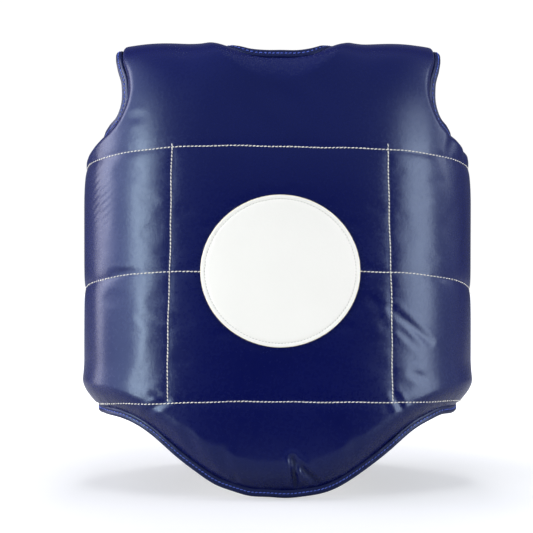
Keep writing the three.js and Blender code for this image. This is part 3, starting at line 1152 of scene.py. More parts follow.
@dataclass(frozen=True)
class Cloth:
    """Plain woven cloth for the lining, or ribbed elastic."""

    name: str
    tone: Colour
    deep: Colour
    threads: float
    roughness: float = 0.7
    relief: float = 0.0003
    relief_strength: float = 0.5
    distortion: float = 0.6
    cloud_scale: float = 30.0
    detail: float = 3.0
    weave_tone: float = 0.6
    cloud_tone: float = 0.4
    spread: float = 0.15
    fuzz: float = 0.15

    def threads_along(self, surface: Surface, place: Signal, direction: str) -> Signal:
        """Waves of the threads that lie one way.

        Args:
            surface: Tree of the material.
            place: Object coordinates.
            direction: Axis that the waves run along.

        Returns:
            Values from 0 to 1.
        """
        waves = {"wave_type": "BANDS", "wave_profile": "SIN", "bands_direction": direction}
        inputs = {"Vector": place, "Scale": self.threads, "Distortion": self.distortion}
        return surface.signal("ShaderNodeTexWave", "Fac", waves, inputs)

    def material(self) -> bpy.types.Material:
        """Makes the material.

        Returns:
            The new material.
        """
        material, surface = new_surface(self.name)
        place = surface.place()
        warp = self.threads_along(surface, place, "X")
        weft = self.threads_along(surface, place, "Z")
        cloud = surface.noise(place, self.cloud_scale, self.detail)
        weave = warp * 0.5 + weft * 0.5
        share = weave * self.weave_tone + cloud * self.cloud_tone
        surface.shade({
            "Base Color": surface.blend(share, self.deep, self.tone),
            "Roughness": self.roughness + (cloud - 0.5) * self.spread,
            "Normal": surface.bump(weave, self.relief_strength, self.relief),
            "Sheen Weight": self.fuzz,
        })
        return material


NAVY = Leather("navy_leather", (0.0013, 0.0030, 0.064, 1.0), (0.0009, 0.0019, 0.050, 1.0), 0.27,
               sheen=(0.62, 0.78, 1.0, 1.0))
NAVY_TAPE = Leather("navy_tape_leather", (0.0026, 0.0046, 0.048, 1.0), (0.0018, 0.0029, 0.032, 1.0), 0.38,
                    grain=1100.0, grain_strength=0.3, sheen=(0.56, 0.70, 1.0, 1.0))
CUT_EDGE = Leather("cut_leather_edge", (0.74, 0.66, 0.44, 1.0), (0.58, 0.50, 0.32, 1.0), 0.6)
WHITE = Leather("white_leather", (0.88, 0.857, 0.785, 1.0), (0.83, 0.806, 0.737, 1.0), 0.48,
                grain=1000.0, grain_strength=0.3)
CREAM_THREAD = Thread("cream_thread", (0.86, 0.83, 0.74, 1.0), (0.52, 0.49, 0.42, 1.0))
BLUE_THREAD = Thread("blue_thread", (0.09, 0.15, 0.62, 1.0), (0.035, 0.06, 0.32, 1.0), roughness=0.42)
# Thread of the patch seam: white thread coloured grey, a painted shade for its stitches sunk in the white
# patch.
PAINTED_SHADE_WHITE_THREAD = Thread("white_thread_painted_shade", (0.62, 0.61, 0.56, 1.0), (0.40, 0.39, 0.35, 1.0))
BLACK_THREAD = Thread("black_thread", (0.03, 0.03, 0.034, 1.0), (0.01, 0.01, 0.012, 1.0))
LINING = Cloth("navy_lining", (0.012, 0.016, 0.05, 1.0), (0.005, 0.007, 0.024, 1.0), 260.0)
ELASTIC = Cloth("black_elastic", (0.022, 0.023, 0.028, 1.0), (0.008, 0.008, 0.011, 1.0), 330.0,
                roughness=0.78, relief=0.0004)


# Pieces


def flat_places(bm: bmesh.types.BMesh) -> tuple[Array, Array]:
    """Places of a flat mesh on the pattern."""
    spots = np.array([vert.co[:2] for vert in bm.verts])
    return spots[:, 0], spots[:, 1]


def move_to(bm: bmesh.types.BMesh, points: Array) -> None:
    """Puts each vertex on its own row of points."""
    for vert, point in zip(bm.verts, points):
        vert.co = point


def add_layer(bm: bmesh.types.BMesh) -> set:
    """Adds a second layer that closes a flat mesh, and gives the parts of that layer."""
    return set(bmesh.ops.extrude_face_region(bm, geom=bm.faces[:], use_keep_orig=True)["geom"])


def finish_piece(bm: bmesh.types.BMesh, name: str,
                 materials: Sequence[bpy.types.Material]) -> bpy.types.Object:
    """Turns a mesh into a smooth shaded piece that rides on the body.

    Args:
        bm: Mesh in metres; it is freed.
        name: Name of the piece.
        materials: Its materials, by face index.

    Returns:
        The new object.
    """
    bmesh.ops.recalc_face_normals(bm, faces=bm.faces)
    for face in bm.faces:
        face.smooth = True
    mesh = bpy.data.meshes.new(name)
    bm.to_mesh(mesh)
    bm.free()
    for material in materials:
        mesh.materials.append(material)
    piece = bpy.data.objects.new(name, mesh)
    bpy.context.scene.collection.objects.link(piece)
    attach(piece, BODY)
    LOG.info("%s: %d faces", name, len(mesh.polygons))
    return piece


@dataclass
class Swelling:
    """Cloth run that lets a leather face swell between the lines that hold it."""

    pressure: float = 4.0
    slack: float = -0.004
    frames: int = 20
    cap: float = 0.18
    stiffness: float = 30.0
    bending: float = 12.0
    mass: float = 0.35
    quality: int = 5

    def run(self, sheet: bmesh.types.BMesh, held: Array) -> Array:
        """Runs the cloth on one open sheet.

        Args:
            sheet: Face of the padding in metres, facing out; it is freed.
            held: How firmly each vertex is held, from 0 to 1.

        Returns:
            Points of the swollen sheet, one a row.
        """
        mesh = bpy.data.meshes.new("swelling")
        sheet.to_mesh(mesh)
        sheet.free()
        piece = bpy.data.objects.new("swelling", mesh)
        bpy.context.scene.collection.objects.link(piece)
        group = piece.vertex_groups.new(name="held")
        for index, weight in enumerate(held):
            group.add([index], float(weight), "REPLACE")
        cloth = piece.modifiers.new("swelling", "CLOTH")
        self.set_up(cloth, group.name)
        scene = bpy.context.scene
        for step in range(1, self.frames + 1):
            scene.frame_set(step)
        shape = piece.evaluated_get(bpy.context.evaluated_depsgraph_get()).data
        points = np.empty(len(shape.vertices) * 3)
        shape.vertices.foreach_get("co", points)
        bpy.data.objects.remove(piece)
        bpy.data.meshes.remove(mesh)
        scene.frame_set(1)
        return points.reshape(-1, 3)

    def set_up(self, cloth: bpy.types.ClothModifier, held: str) -> None:
        """Sets the cloth for leather under even pressure.

        Args:
            cloth: Modifier to set.
            held: Name of the group of held vertices.
        """
        settings = cloth.settings
        settings.quality = self.quality
        settings.mass = self.mass
        settings.tension_stiffness = self.stiffness
        settings.compression_stiffness = self.stiffness
        settings.shear_stiffness = self.stiffness / 2
        settings.bending_stiffness = self.bending
        settings.use_pressure = True
        settings.uniform_pressure_force = self.pressure
        settings.shrink_min = self.slack
        settings.vertex_group_mass = held
        settings.effector_weights.gravity = 0.0
        cloth.collision_settings.use_collision = False
        cloth.point_cache.frame_start = 1
        cloth.point_cache.frame_end = self.frames


@dataclass
class PaddedPanel:
    """One padded panel: leather outside, lining on the wearer's side."""

    name: str
    padding: Padding
    hand: Hand
    girth: tuple[float, float]
    edges: tuple[EdgeLine, ...]
    is_front: bool
    step: float
    tuck: float = 3.2
    coarse: float = 2.0
    fill: float = 0.75
    snap_steps: float = 4.0
    snap_lean: float = 0.2
    probe: float = 0.5
    off_tape: Ramp = Ramp(0.0, 8.0)
    off_seam: Ramp = Ramp(2.0, 8.0)
    off_thread: Ramp = Ramp(2.5, 4.0)
    off_patch: Ramp = Ramp(2.0, 6.0)
    swelling: Swelling = field(default_factory=Swelling)

    def clearance(self, p: Array, q: Array) -> Array:
        """Distance in from the nearest edge, negative outside the panel.

        Args:
            p: Pattern places, round the girth.
            q: Pattern places, up the wall.

        Returns:
            Distances in millimetres.
        """
        reach = np.abs(p)
        armhole = self.padding.pattern.armhole_line
        return np.minimum.reduce([
            line.clearance(reach if line is armhole else p, q) for line in self.edges])

    def sheet(self, step: float) -> tuple[bmesh.types.BMesh, Array, Array]:
        """Flat grid of the panel, trimmed to its edges.

        Args:
            step: Spacing of the grid.

        Returns:
            The mesh, and the grid column and row of each vertex.
        """
        ridge = self.padding.pattern.form.ridge - self.padding.pattern.seam_gap / 2
        low, high = self.girth
        columns = round((high - low) / step)
        rows = round(ridge / step)
        bm = bmesh.new()
        centre = Matrix.Translation(((low + high) / 2, ridge / 2, 0.0))
        spread = centre @ Matrix.Diagonal((high - low, ridge, 1.0, 1.0))
        bmesh.ops.create_grid(bm, x_segments=columns, y_segments=rows, size=0.5, matrix=spread)
        p, q = flat_places(bm)
        clear = self.clearance(p, q)
        outside = [vert for vert, gap in zip(bm.verts, clear) if gap < self.tuck - step / 2]
        bmesh.ops.delete(bm, geom=outside, context="VERTS")
        loose = [vert for vert in bm.verts if not vert.link_faces]
        bmesh.ops.delete(bm, geom=loose, context="VERTS")
        p, q = flat_places(bm)
        self.snap(bm, p, q, ridge)
        return bm, (p - low) / (high - low) * columns, q / ridge * rows

    def snap(self, bm: bmesh.types.BMesh, p: Array, q: Array, ridge: float) -> None:
        """Moves the ragged border of a trimmed grid onto the sewn edges.

        Args:
            bm: Trimmed flat grid.
            p: Pattern places, round the girth.
            q: Pattern places, up the wall.
            ridge: Upper end of the panel.
        """
        low, high = self.girth
        clear = self.clearance(p, q)
        probe = self.probe
        lean_p = (self.clearance(p + probe, q) - self.clearance(p - probe, q)) / (2 * probe)
        lean_q = (self.clearance(p, q + probe) - self.clearance(p, q - probe)) / (2 * probe)
        for vert, gap, dp, dq in zip(bm.verts, clear, lean_p, lean_q):
            level = math.hypot(dp, dq)
            if not vert.is_boundary or gap > self.snap_steps * self.step or level < self.snap_lean:
                continue
            shift = (self.tuck - gap) / level
            spot = Vector((vert.co.x + dp * shift, vert.co.y + dq * shift, 0.0))
            spot.x = min(high, max(low, spot.x))
            spot.y = min(ridge, spot.y)
            vert.co = spot

    def outer(self, p: Array, q: Array) -> Array:
        """Height of the leather before it swells."""
        return self.padding.front(p, q) if self.is_front else self.padding.back(p, q)

    def held(self, p: Array, q: Array) -> Array:
        """How firmly each place of the leather is held by thread or tape.

        Args:
            p: Pattern places, round the girth.
            q: Pattern places, up the wall.

        Returns:
            Shares from 0, free, to 1, held.
        """
        pattern = self.padding.pattern
        seam = np.minimum(np.abs(np.abs(p) - pattern.side_seam), pattern.form.ridge - q)
        free = [self.off_tape.at(self.clearance(p, q) - pattern.inset), self.off_seam.at(seam)]
        if self.is_front:
            quilted, _, _ = self.padding.stitch_lines(p, q)
            free += [self.off_thread.at(quilted), self.off_patch.at(pattern.off_disc(p, q))]
        return 1 - np.minimum.reduce(free)

    def swell(self, u: Array, v: Array) -> Array:
        """Height that the cloth run adds, read at fine grid places.

        Args:
            u: Grid columns on the fine grid.
            v: Grid rows on the fine grid.

        Returns:
            Heights in millimetres.
        """
        form = self.padding.pattern.form
        sheet, columns, rows = self.sheet(self.step * self.coarse)
        p, q = flat_places(sheet)
        start = form.place(p, q, self.outer(p, q))
        move_to(sheet, start)
        bmesh.ops.recalc_face_normals(sheet, faces=sheet.faces)
        points = self.swelling.run(sheet, self.held(p, q))
        rise = ((points - start) * form.normal(p, q)).sum(axis=1) / METRES
        rise = self.swelling.cap * np.tanh(rise / self.swelling.cap)
        grid = np.zeros((int(rows.max()) + 2, int(columns.max()) + 2))
        grid[np.rint(rows).astype(int), np.rint(columns).astype(int)] = rise
        LOG.info("%s swells by %.1f to %.1f mm", self.name, rise.min(), rise.max())
        return spline_sample(grid, u / self.coarse, v / self.coarse)

    def build(self, leather: bpy.types.Material, lining: bpy.types.Material) -> bpy.types.Object:
        """Makes the panel.

        Args:
            leather: Finish of the outside.
            lining: Finish of the wearer's side.

        Returns:
            The finished piece.
        """
        bm, columns, rows = self.sheet(self.step)
        p, q = flat_places(bm)
        rise = self.outer(p, q)
        rise = rise + self.swell(columns, rows)
        wearer = self.padding.wearer_side(p, q, self.is_front)
        heights = dict(zip(bm.verts, zip(wearer, rise)))
        spots = {vert.co.copy().freeze(): vert for vert in bm.verts}
        raised = add_layer(bm)
        for face in bm.faces:
            face.material_index = int(not any(vert in raised for vert in face.verts))
        p, q = flat_places(bm)
        layer = [heights[spots[vert.co.copy().freeze()]][vert in raised] for vert in bm.verts]
        points = self.padding.pattern.form.place(p, q, np.array(layer))
        points[:, 0] *= self.hand.value
        move_to(bm, points)
        piece = finish_piece(bm, self.name, (leather, lining))
        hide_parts(self.name.replace("padded_", ""))
        return piece


@dataclass
class Binding:
    """Folded tape over one raw edge, with a channel down its middle for the thread."""

    name: str
    node: str
    form: TorsoForm
    line: EdgeLine
    span: tuple[float, float]
    hand: Hand = Hand.RIGHT
    width: float = 9.0
    low: float = -0.8
    high: float = 4.9
    wall: float = 0.8
    step: float = 2.0
    folds: int = 26
    channel: float = 4.9
    channel_depth: float = 0.5
    channel_width: float = 1.3
    lip_drop: float = 0.7
    lip_run: float = 1.2
    upper_side: Ramp = Ramp(2.0, 2.0)
    uneven_reach: float = 5.0
    fold_inset: float = 0.6
    fold_drift: Drift = Drift(0.35, 8.3, 0.25, 19.0, sway=2.0, sway_length=41.0)
    top_drift: Drift = Drift(0.16, 3.1, 0.12, 7.7, sway=1.3, sway_length=17.0)
    outset: float = 0.0
    lift: float = 0.0
    lift_place: float = 95.0
    lift_reach: float = 35.0
    seam_end: float = 2.0
    thread_lift: float = 0.3

    def top(self, walk: Array) -> Array:
        """Height of the upper side, which is lifted where the tape bends over the shoulder."""
        _, q = self.line.at(walk, np.zeros(walk.shape))
        return self.high + self.lift * bell(self.form.ridge - q - self.lift_place, self.lift_reach)

    def wander(self, walk: Array) -> Array:
        """How far the hand-folded tape lies in from its line."""
        return self.fold_inset + self.fold_drift.at(walk)

    def spread(self, inset: Array) -> Array:
        """Insets across a tape that reaches out over the edge line."""
        return inset * (self.width + self.outset) / self.width - self.outset

    def section(self, share: Array, walk: Array, depth: Array) -> tuple[Array, Array]:
        """Inset and height of the folded tape, from its upper lip round to its lower one.

        Args:
            share: Place across the tape, from 0 to 1.
            walk: Walk along the edge, for the unevenness of the tape.
            depth: Depth under the outside of the tape.

        Returns:
            Insets and heights.
        """
        high = self.top(walk)
        radius = (high - self.low) / 2
        run = self.width - radius
        arc = math.pi * radius
        walked_across = share * (2 * run + arc)
        turn = np.clip((walked_across - run) / radius, 0.0, math.pi)
        bend = radius - depth
        straight = np.where(walked_across < run, walked_across, np.maximum(walked_across - arc, 0.0))
        inset = np.where(walked_across < run, self.width - straight, radius - bend * np.sin(turn))
        inset = np.where(walked_across > run + arc, radius + walked_across - run - arc, inset)
        height = (high + self.low) / 2 + bend * np.cos(turn)
        upper = self.upper_side.at(height)
        height = height - upper * self.channel_depth * bell(inset - self.channel, self.channel_width)
        height = height - upper * self.lip_drop * smooth((inset - self.width + self.lip_run) / self.lip_run)
        uneven = self.top_drift.at(walk)
        height = height + upper * uneven * bell(inset - self.channel, self.uneven_reach)
        return self.spread(inset) + self.wander(walk), height

    def build(self, leather: bpy.types.Material) -> bpy.types.Object:
        """Makes the tape.

        Args:
            leather: Finish of the tape.

        Returns:
            The finished piece.
        """
        bm = bmesh.new()
        steps = round((self.span[1] - self.span[0]) / self.step)
        unit = Matrix.Translation((0.5, 0.5, 0.0))
        bmesh.ops.create_grid(bm, x_segments=steps, y_segments=self.folds, size=0.5, matrix=unit)
        inner = add_layer(bm)
        along, across = flat_places(bm)
        walk = lerp(self.span[0], self.span[1], along)
        depth = np.array([self.wall * (vert in inner) for vert in bm.verts])
        inset, height = self.section(across, walk, depth)
        p, q = self.line.at(walk, inset)
        points = self.form.place(p, q, height)
        points[:, 0] *= self.hand.value
        move_to(bm, points)
        piece = finish_piece(bm, self.name, (leather,))
        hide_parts(self.node)
        return piece

    def seam(self, pitch: float) -> Run:
        """Pattern places and heights of the thread in the channel.

        Args:
            pitch: Length of one stitch with its gap.

        Returns:
            Places round the girth and up the wall, and heights.
        """
        start, end = self.span[0] + self.seam_end, self.span[1] - self.seam_end
        walk = np.linspace(start, end, round((end - start) / pitch))
        p, q = self.line.at(walk, self.spread(self.channel) + self.wander(walk))
        return self.hand.value * p, q, self.top(walk) - self.channel_depth + self.thread_lift


@dataclass
class StitchRun:
    """A run of thread stitches along a line of the pattern."""

    name: str
    form: TorsoForm
    length: float
    thickness: float
    slant: float = 0.14
    flatness: float = 0.8
    wobble: float = 0.05
    sides: int = 6
    rings: int = 5
    batch: int = 20
    seed: int = 3

    def build(self, runs: Sequence[Run], thread: bpy.types.Material) -> bpy.types.Object:
        """Makes the stitches.

        Args:
            runs: Pattern places and heights of the stitches' middles, one tuple for each line.
            thread: Finish of the thread.

        Returns:
            The finished piece.
        """
        source = np.random.default_rng(self.seed)
        whole = bmesh.new()
        for p, q, w in runs:
            middles = self.form.place(p, q, w)
            outs = self.form.normal(p, q)
            headings = np.gradient(middles, axis=0)
            wobble = source.normal(0.0, self.wobble, (len(p), 2))
            rows = list(zip(middles, outs, headings, wobble))
            for start in range(0, len(rows), self.batch):
                self.add_batch(whole, rows[start:start + self.batch])
        return finish_piece(whole, self.name, (thread,))

    def add_batch(self, whole: bmesh.types.BMesh, rows: Sequence[tuple[Array, ...]]) -> None:
        """Adds a few stitches through a small mesh of their own, which stays quick.

        Args:
            whole: Mesh that takes the stitches.
            rows: Middle, direction off the leather, heading and unevenness of each stitch.
        """
        bm = bmesh.new()
        for middle, out, heading, (tilt, scale) in rows:
            forward = Vector(heading).normalized()
            side = Vector(out).cross(forward).normalized()
            forward = (forward + side * (self.slant + tilt)).normalized()
            self.stitch(bm, Vector(middle), forward, Vector(out), 1.0 + scale)
        mesh = bpy.data.meshes.new("stitches")
        bm.to_mesh(mesh)
        bm.free()
        whole.from_mesh(mesh)
        bpy.data.meshes.remove(mesh)

    def stitch(self, bm: bmesh.types.BMesh, middle: Vector, forward: Vector, out: Vector,
               scale: float) -> None:
        """Adds one stitch.

        Args:
            bm: Mesh that takes the stitch.
            middle: Its middle, in metres.
            forward: Its direction.
            out: Direction off the leather.
            scale: Its length as a share of the usual one.
        """
        side = out.cross(forward).normalized()
        up = forward.cross(side)
        half = self.length * METRES / 2 * scale
        thick = self.thickness * METRES / 2
        axes = Matrix((side * thick, up * thick * self.flatness, forward * half)).transposed().to_4x4()
        axes.translation = middle
        bmesh.ops.create_uvsphere(bm, u_segments=self.sides, v_segments=self.rings, radius=1.0, matrix=axes)


@dataclass
class RoundPatch:
    """Round leather patch on the chest, sewn down near its edge."""

    padding: Padding
    name: str = "leather_disc_patch"
    thickness: float = 1.7
    lift: float = 0.25
    seam_inset: float = 4.4
    seam_dent: float = 0.55
    seam_width: float = 1.0
    seam_rings: tuple[float, ...] = (-1.2, -0.6, 0.0, 0.6, 1.2, 2.2)
    seam_margin: float = 2.0
    thread_lift: float = 0.1
    edge_round: float = 0.8
    edge_rings: int = 5
    inner_rings: int = 24
    ease_height: float = 0.22
    ease_pitch: float = 11.0
    ease_reach: float = 14.0
    ease_start: float = 0.125
    cut_share: float = 0.5
    weld: float = 1e-3
    sides: int = 144

    def top(self, radius: Array) -> Array:
        """Height of the patch over the padding at a distance from its middle.

        Args:
            radius: Distances from the middle.

        Returns:
            Heights in millimetres.
        """
        rim = self.padding.pattern.disc_radius
        seam = self.seam_dent * bell(radius - (rim - self.seam_inset), self.seam_width)
        drop = np.clip((radius - rim + self.edge_round) / self.edge_round, 0.0, 1.0)
        rounding = self.edge_round * (1 - np.sqrt(1 - drop**2))
        return self.lift + self.thickness - seam - rounding

    def build(self, leather: bpy.types.Material, cut: bpy.types.Material) -> bpy.types.Object:
        """Makes the patch.

        Args:
            leather: Finish of the patch.
            cut: Finish of its cut edge.

        Returns:
            The finished piece.
        """
        rim = self.padding.pattern.disc_radius
        inner = np.linspace(0.0, rim - self.seam_inset - self.seam_margin, self.inner_rings)
        seam = rim - self.seam_inset + np.array(self.seam_rings)
        corner = rim - self.edge_round * (1 - np.sin(np.linspace(0.0, math.pi / 2, self.edge_rings)))
        radii = np.concatenate([inner, seam, corner])
        bm = bmesh.new()
        verts = [bm.verts.new((r, 0.0, w)) for r, w in zip(radii, self.top(radii))]
        verts += [bm.verts.new((r, 0.0, self.lift)) for r in np.concatenate([[rim], inner[::-1]])]
        edges = [bm.edges.new(pair) for pair in zip(verts, verts[1:])]
        bmesh.ops.spin(bm, geom=[*verts, *edges], cent=(0.0, 0.0, 0.0), axis=(0.0, 0.0, 1.0),
                       angle=2 * math.pi, steps=self.sides, use_merge=True)
        bmesh.ops.remove_doubles(bm, verts=bm.verts, dist=self.weld)
        p, across = flat_places(bm)
        q = across + self.padding.pattern.disc_height
        lifted = np.array([vert.co.z for vert in bm.verts])
        near_rim = 1 - smooth((rim - np.hypot(p, across)) / self.ease_reach)
        upper = (lifted > self.lift + self.edge_round * self.ease_start) * near_rim
        ease = self.ease_height * upper * self.padding.ease(np.arctan2(across, p) * rim, self.ease_pitch)
        w = self.padding.front(p, q, with_relief=False) + lifted + ease
        for face in bm.faces:
            out = face.calc_center_median().xy.length
            face.material_index = int(out > rim - self.cut_share * self.edge_round)
        move_to(bm, self.padding.pattern.form.place(p, q, w))
        piece = finish_piece(bm, self.name, (leather, cut))
        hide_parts("disc_patch")
        return piece

    def seam(self, pitch: float) -> Run:
        """Pattern places and heights of the thread round the patch.

        Args:
            pitch: Length of one stitch with its gap.

        Returns:
            Places round the girth and up the wall, and heights.
        """
        radius = self.padding.pattern.disc_radius - self.seam_inset
        turn = np.linspace(0.0, 2 * math.pi, round(2 * math.pi * radius / pitch), endpoint=False)
        p = radius * np.cos(turn)
        q = self.padding.pattern.disc_height + radius * np.sin(turn)
        height = self.padding.front(p, q, with_relief=False) + self.top(np.array([radius]))[0]
        return p, q, height + self.thread_lift


@dataclass
class ElasticBand:
    """Ribbed elastic band across the opening at the back."""

    name: str
    node: str
    form: TorsoForm
    height: float
    length: float = 190.0
    width: float = 40.0
    level: float = 14.4
    thickness: float = 1.6
    ribs: int = 13
    rib_height: float = 0.35
    rib_steps: int = 6
    columns: int = 96
    seam_margin: float = 2.5
    seam_insets: tuple[float, float] = (5.0, 17.0)

    def __post_init__(self) -> None:
        """Finds the middle of the band on the pattern."""
        self.centre = (2 * self.form.side, self.height + self.form.back_drop)

    def surface(self, p: Array, q: Array, w: Array) -> Array:
        """Points of the band from its own flat places."""
        return self.form.place(self.centre[0] + p, self.centre[1] + q, self.level + w)

    def build(self, elastic: bpy.types.Material) -> bpy.types.Object:
        """Makes the band.

        Args:
            elastic: Finish of the band.

        Returns:
            The finished piece.
        """
        bm = bmesh.new()
        spread = Matrix.Diagonal((self.length, self.width, 1.0, 1.0))
        rows = self.ribs * self.rib_steps
        bmesh.ops.create_grid(bm, x_segments=self.columns, y_segments=rows, size=0.5, matrix=spread)
        raised = add_layer(bm)
        p, q = flat_places(bm)
        outer = np.array([vert in raised for vert in bm.verts])
        rib = self.rib_height * np.abs(np.sin(math.pi * self.ribs * (q / self.width + 0.5)))
        w = np.where(outer, self.thickness + rib, 0.0)
        move_to(bm, self.surface(p, q, w))
        piece = finish_piece(bm, self.name, (elastic,))
        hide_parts(self.node)
        return piece

    def seams(self, pitch: float) -> list[Run]:
        """Pattern places and heights of the thread that holds both ends.

        Args:
            pitch: Length of one stitch with its gap.

        Returns:
            One tuple for each line: places round the girth and up the wall, and heights.
        """
        reach = self.width / 2 - self.seam_margin
        rows = np.linspace(-reach, reach, round(2 * reach / pitch))
        level = np.full(rows.shape, self.level + self.thickness + self.rib_height)
        runs = []
        for inset in self.seam_insets:
            for end in (-1, 1):
                across = self.centre[0] + end * (self.length / 2 - inset)
                runs.append((np.full(rows.shape, across), self.centre[1] + rows, level))
        return runs


@dataclass
class Vest:
    """The whole body protector."""

    form: TorsoForm
    step_front: float = 2.0
    step_back: float = 3.6
    quilt_pitch: float = 3.8
    quilt_end: float = 3.0
    column_end: float = 1.5
    column_start: float = 4.5
    under_disc: float = 2.0
    row_drift: Drift = Drift(0.45, 27.0, 0.25, 9.0)
    column_drift: Drift = Drift(0.4, 31.0, 0.2, 8.0)
    thread_lift: float = 0.25
    tape_pitch: float = 4.2
    patch_pitch: float = 3.3
    band_pitch: float = 3.2
    bands: tuple[tuple[str, float], ...] = (("upper", 340.0), ("middle", 225.0), ("lower", 110.0))

    def __post_init__(self) -> None:
        """Draws the pattern and fills the padding."""
        self.pattern = Pattern(self.form)
        self.padding = Padding(self.pattern)

    def panels(self) -> list[PaddedPanel]:
        """Front panel and the two back panels.

        Returns:
            The panels, the front first.
        """
        pattern = self.pattern
        seam = pattern.side_seam
        gap = pattern.seam_gap / 2
        front_edges = (pattern.hem, pattern.armhole_line, pattern.neck)
        back_edges = (pattern.hem, pattern.armhole_line, pattern.opening)
        back = (seam + gap, pattern.back_edge)
        front = (gap - seam, seam - gap)
        panels = [PaddedPanel("padded_front_panel", self.padding, Hand.RIGHT, front, front_edges,
                              is_front=True, step=self.step_front)]
        for hand in Hand:
            panels.append(PaddedPanel(f"padded_back_panel_{hand.name.lower()}", self.padding, hand, back,
                                      back_edges, is_front=False, step=self.step_back))
        return panels

    def walk_where(self, line: EdgeLine, keep: Callable[[Array], Array]) -> tuple[float, float]:
        """First and last walk of an edge whose points are kept."""
        kept = line.marks[keep(line.points)]
        return float(kept[0]), float(kept[-1])

    def bindings(self) -> list[Binding]:
        """Tapes round the neck, the armholes, the hem and the opening.

        Returns:
            The tapes in the order that they are made.
        """
        pattern = self.pattern
        form = self.form
        ridge = form.ridge - pattern.seam_gap / 2
        reach = pattern.back_edge - pattern.inset
        arm = self.walk_where(pattern.armhole_line, lambda spot: spot[:, 1] <= ridge)
        neck = self.walk_where(pattern.neck, lambda spot: spot[:, 1] <= ridge)
        hem = self.walk_where(pattern.hem, lambda spot: np.abs(spot[:, 0]) <= reach)
        back = self.walk_where(
            pattern.opening, lambda spot: (spot[:, 1] <= ridge) & (spot[:, 1] >= form.back_drop))
        made = [
            Binding("folded_neck_tape", "neck_binding", form, pattern.neck, neck),
            Binding("folded_hem_tape", "hem_binding", form, pattern.hem, hem),
        ]
        for hand in Hand:
            side = hand.name.lower()
            made.append(Binding(f"folded_armhole_tape_{side}", f"armhole_binding_{side}", form,
                                pattern.armhole_line, arm, hand, outset=2.5, lift=3.0))
            made.append(Binding(f"folded_back_edge_tape_{side}", f"back_edge_binding_{side}", form,
                                pattern.opening, back, hand))
        return made

    def quilting(self) -> list[Run]:
        """Thread lines of the quilting on the front.

        Returns:
            One tuple for each line: places round the girth and up the wall, and heights.
        """
        pattern = self.pattern
        reach = pattern.side_seam - self.quilt_end
        runs = []
        for row in (pattern.top_row, pattern.middle_row, pattern.foot_row):
            p = np.arange(-reach, reach, self.quilt_pitch)
            q = row.at(p) + self.row_drift.at(p, row.height)
            shown = pattern.off_disc(p, q) > -self.under_disc
            splits = np.flatnonzero(np.diff(shown.astype(int))) + 1
            for part_p, part_q, part in zip(*(np.split(each, splits) for each in (p, q, shown))):
                if part[0]:
                    runs.append((part_p, part_q))
        low = pattern.foot_row.height + self.column_end
        q = np.arange(low, pattern.top_row.height + self.column_start, self.quilt_pitch)
        for hand in Hand:
            runs.append((hand.value * pattern.column(q) + self.column_drift.at(q, hand.value), q))
        return [(p, q, self.padding.front(p, q) + self.thread_lift) for p, q in runs]

    def build(self) -> None:
        """Makes every piece of the vest in order."""
        leather, lining, tape = NAVY.material(), LINING.material(), NAVY_TAPE.material()
        for panel in self.panels():
            panel.build(leather, lining)
        bindings = self.bindings()
        for binding in bindings:
            binding.build(tape)
        patch = RoundPatch(self.padding)
        patch.build(WHITE.material(), CUT_EDGE.material())
        elastic = ELASTIC.material()
        bands = []
        for place, height in self.bands:
            bands.append(ElasticBand(f"elastic_band_{place}", f"back_strap_{place}", self.form, height))
            bands[-1].build(elastic)
        quilt_run = StitchRun("quilting_stitches", self.form, length=3.6, thickness=1.35)
        quilt_run.build(self.quilting(), CREAM_THREAD.material())
        tape_run = StitchRun("tape_stitches", self.form, length=3.4, thickness=1.3)
        tape_run.build([binding.seam(self.tape_pitch) for binding in bindings], BLUE_THREAD.material())
        patch_run = StitchRun("patch_stitches", self.form, length=2.3, thickness=0.7)
        patch_run.build([patch.seam(self.patch_pitch)], PAINTED_SHADE_WHITE_THREAD.material())
        band_run = StitchRun("band_stitches", self.form, length=2.6, thickness=0.8)
        band_seams = [run for band in bands for run in band.seams(self.band_pitch)]
        band_run.build(band_seams, BLACK_THREAD.material())


# Studio


@dataclass(frozen=True)
class Softbox:
    """One soft light panel that looks at a point."""

    name: str
    spot: tuple[float, float, float]
    target: tuple[float, float, float]
    size: tuple[float, float]
    power: float
    mirrored: bool = True
    tint: tuple[float, float, float] = (1.0, 1.0, 1.0)

    def build(self) -> None:
        """Makes the light, with or without a mirror image in the leather."""
        lamp = bpy.data.lights.new(self.name, "AREA")
        lamp.shape = "RECTANGLE"
        lamp.size, lamp.size_y = self.size
        lamp.energy = self.power
        lamp.color = self.tint
        light = bpy.data.objects.new(self.name, lamp)
        light.location = self.spot
        light.visible_glossy = self.mirrored
        aim = Vector(self.target) - Vector(self.spot)
        light.rotation_euler = aim.to_track_quat("-Z", "Y").to_euler()
        bpy.context.scene.collection.objects.link(light)


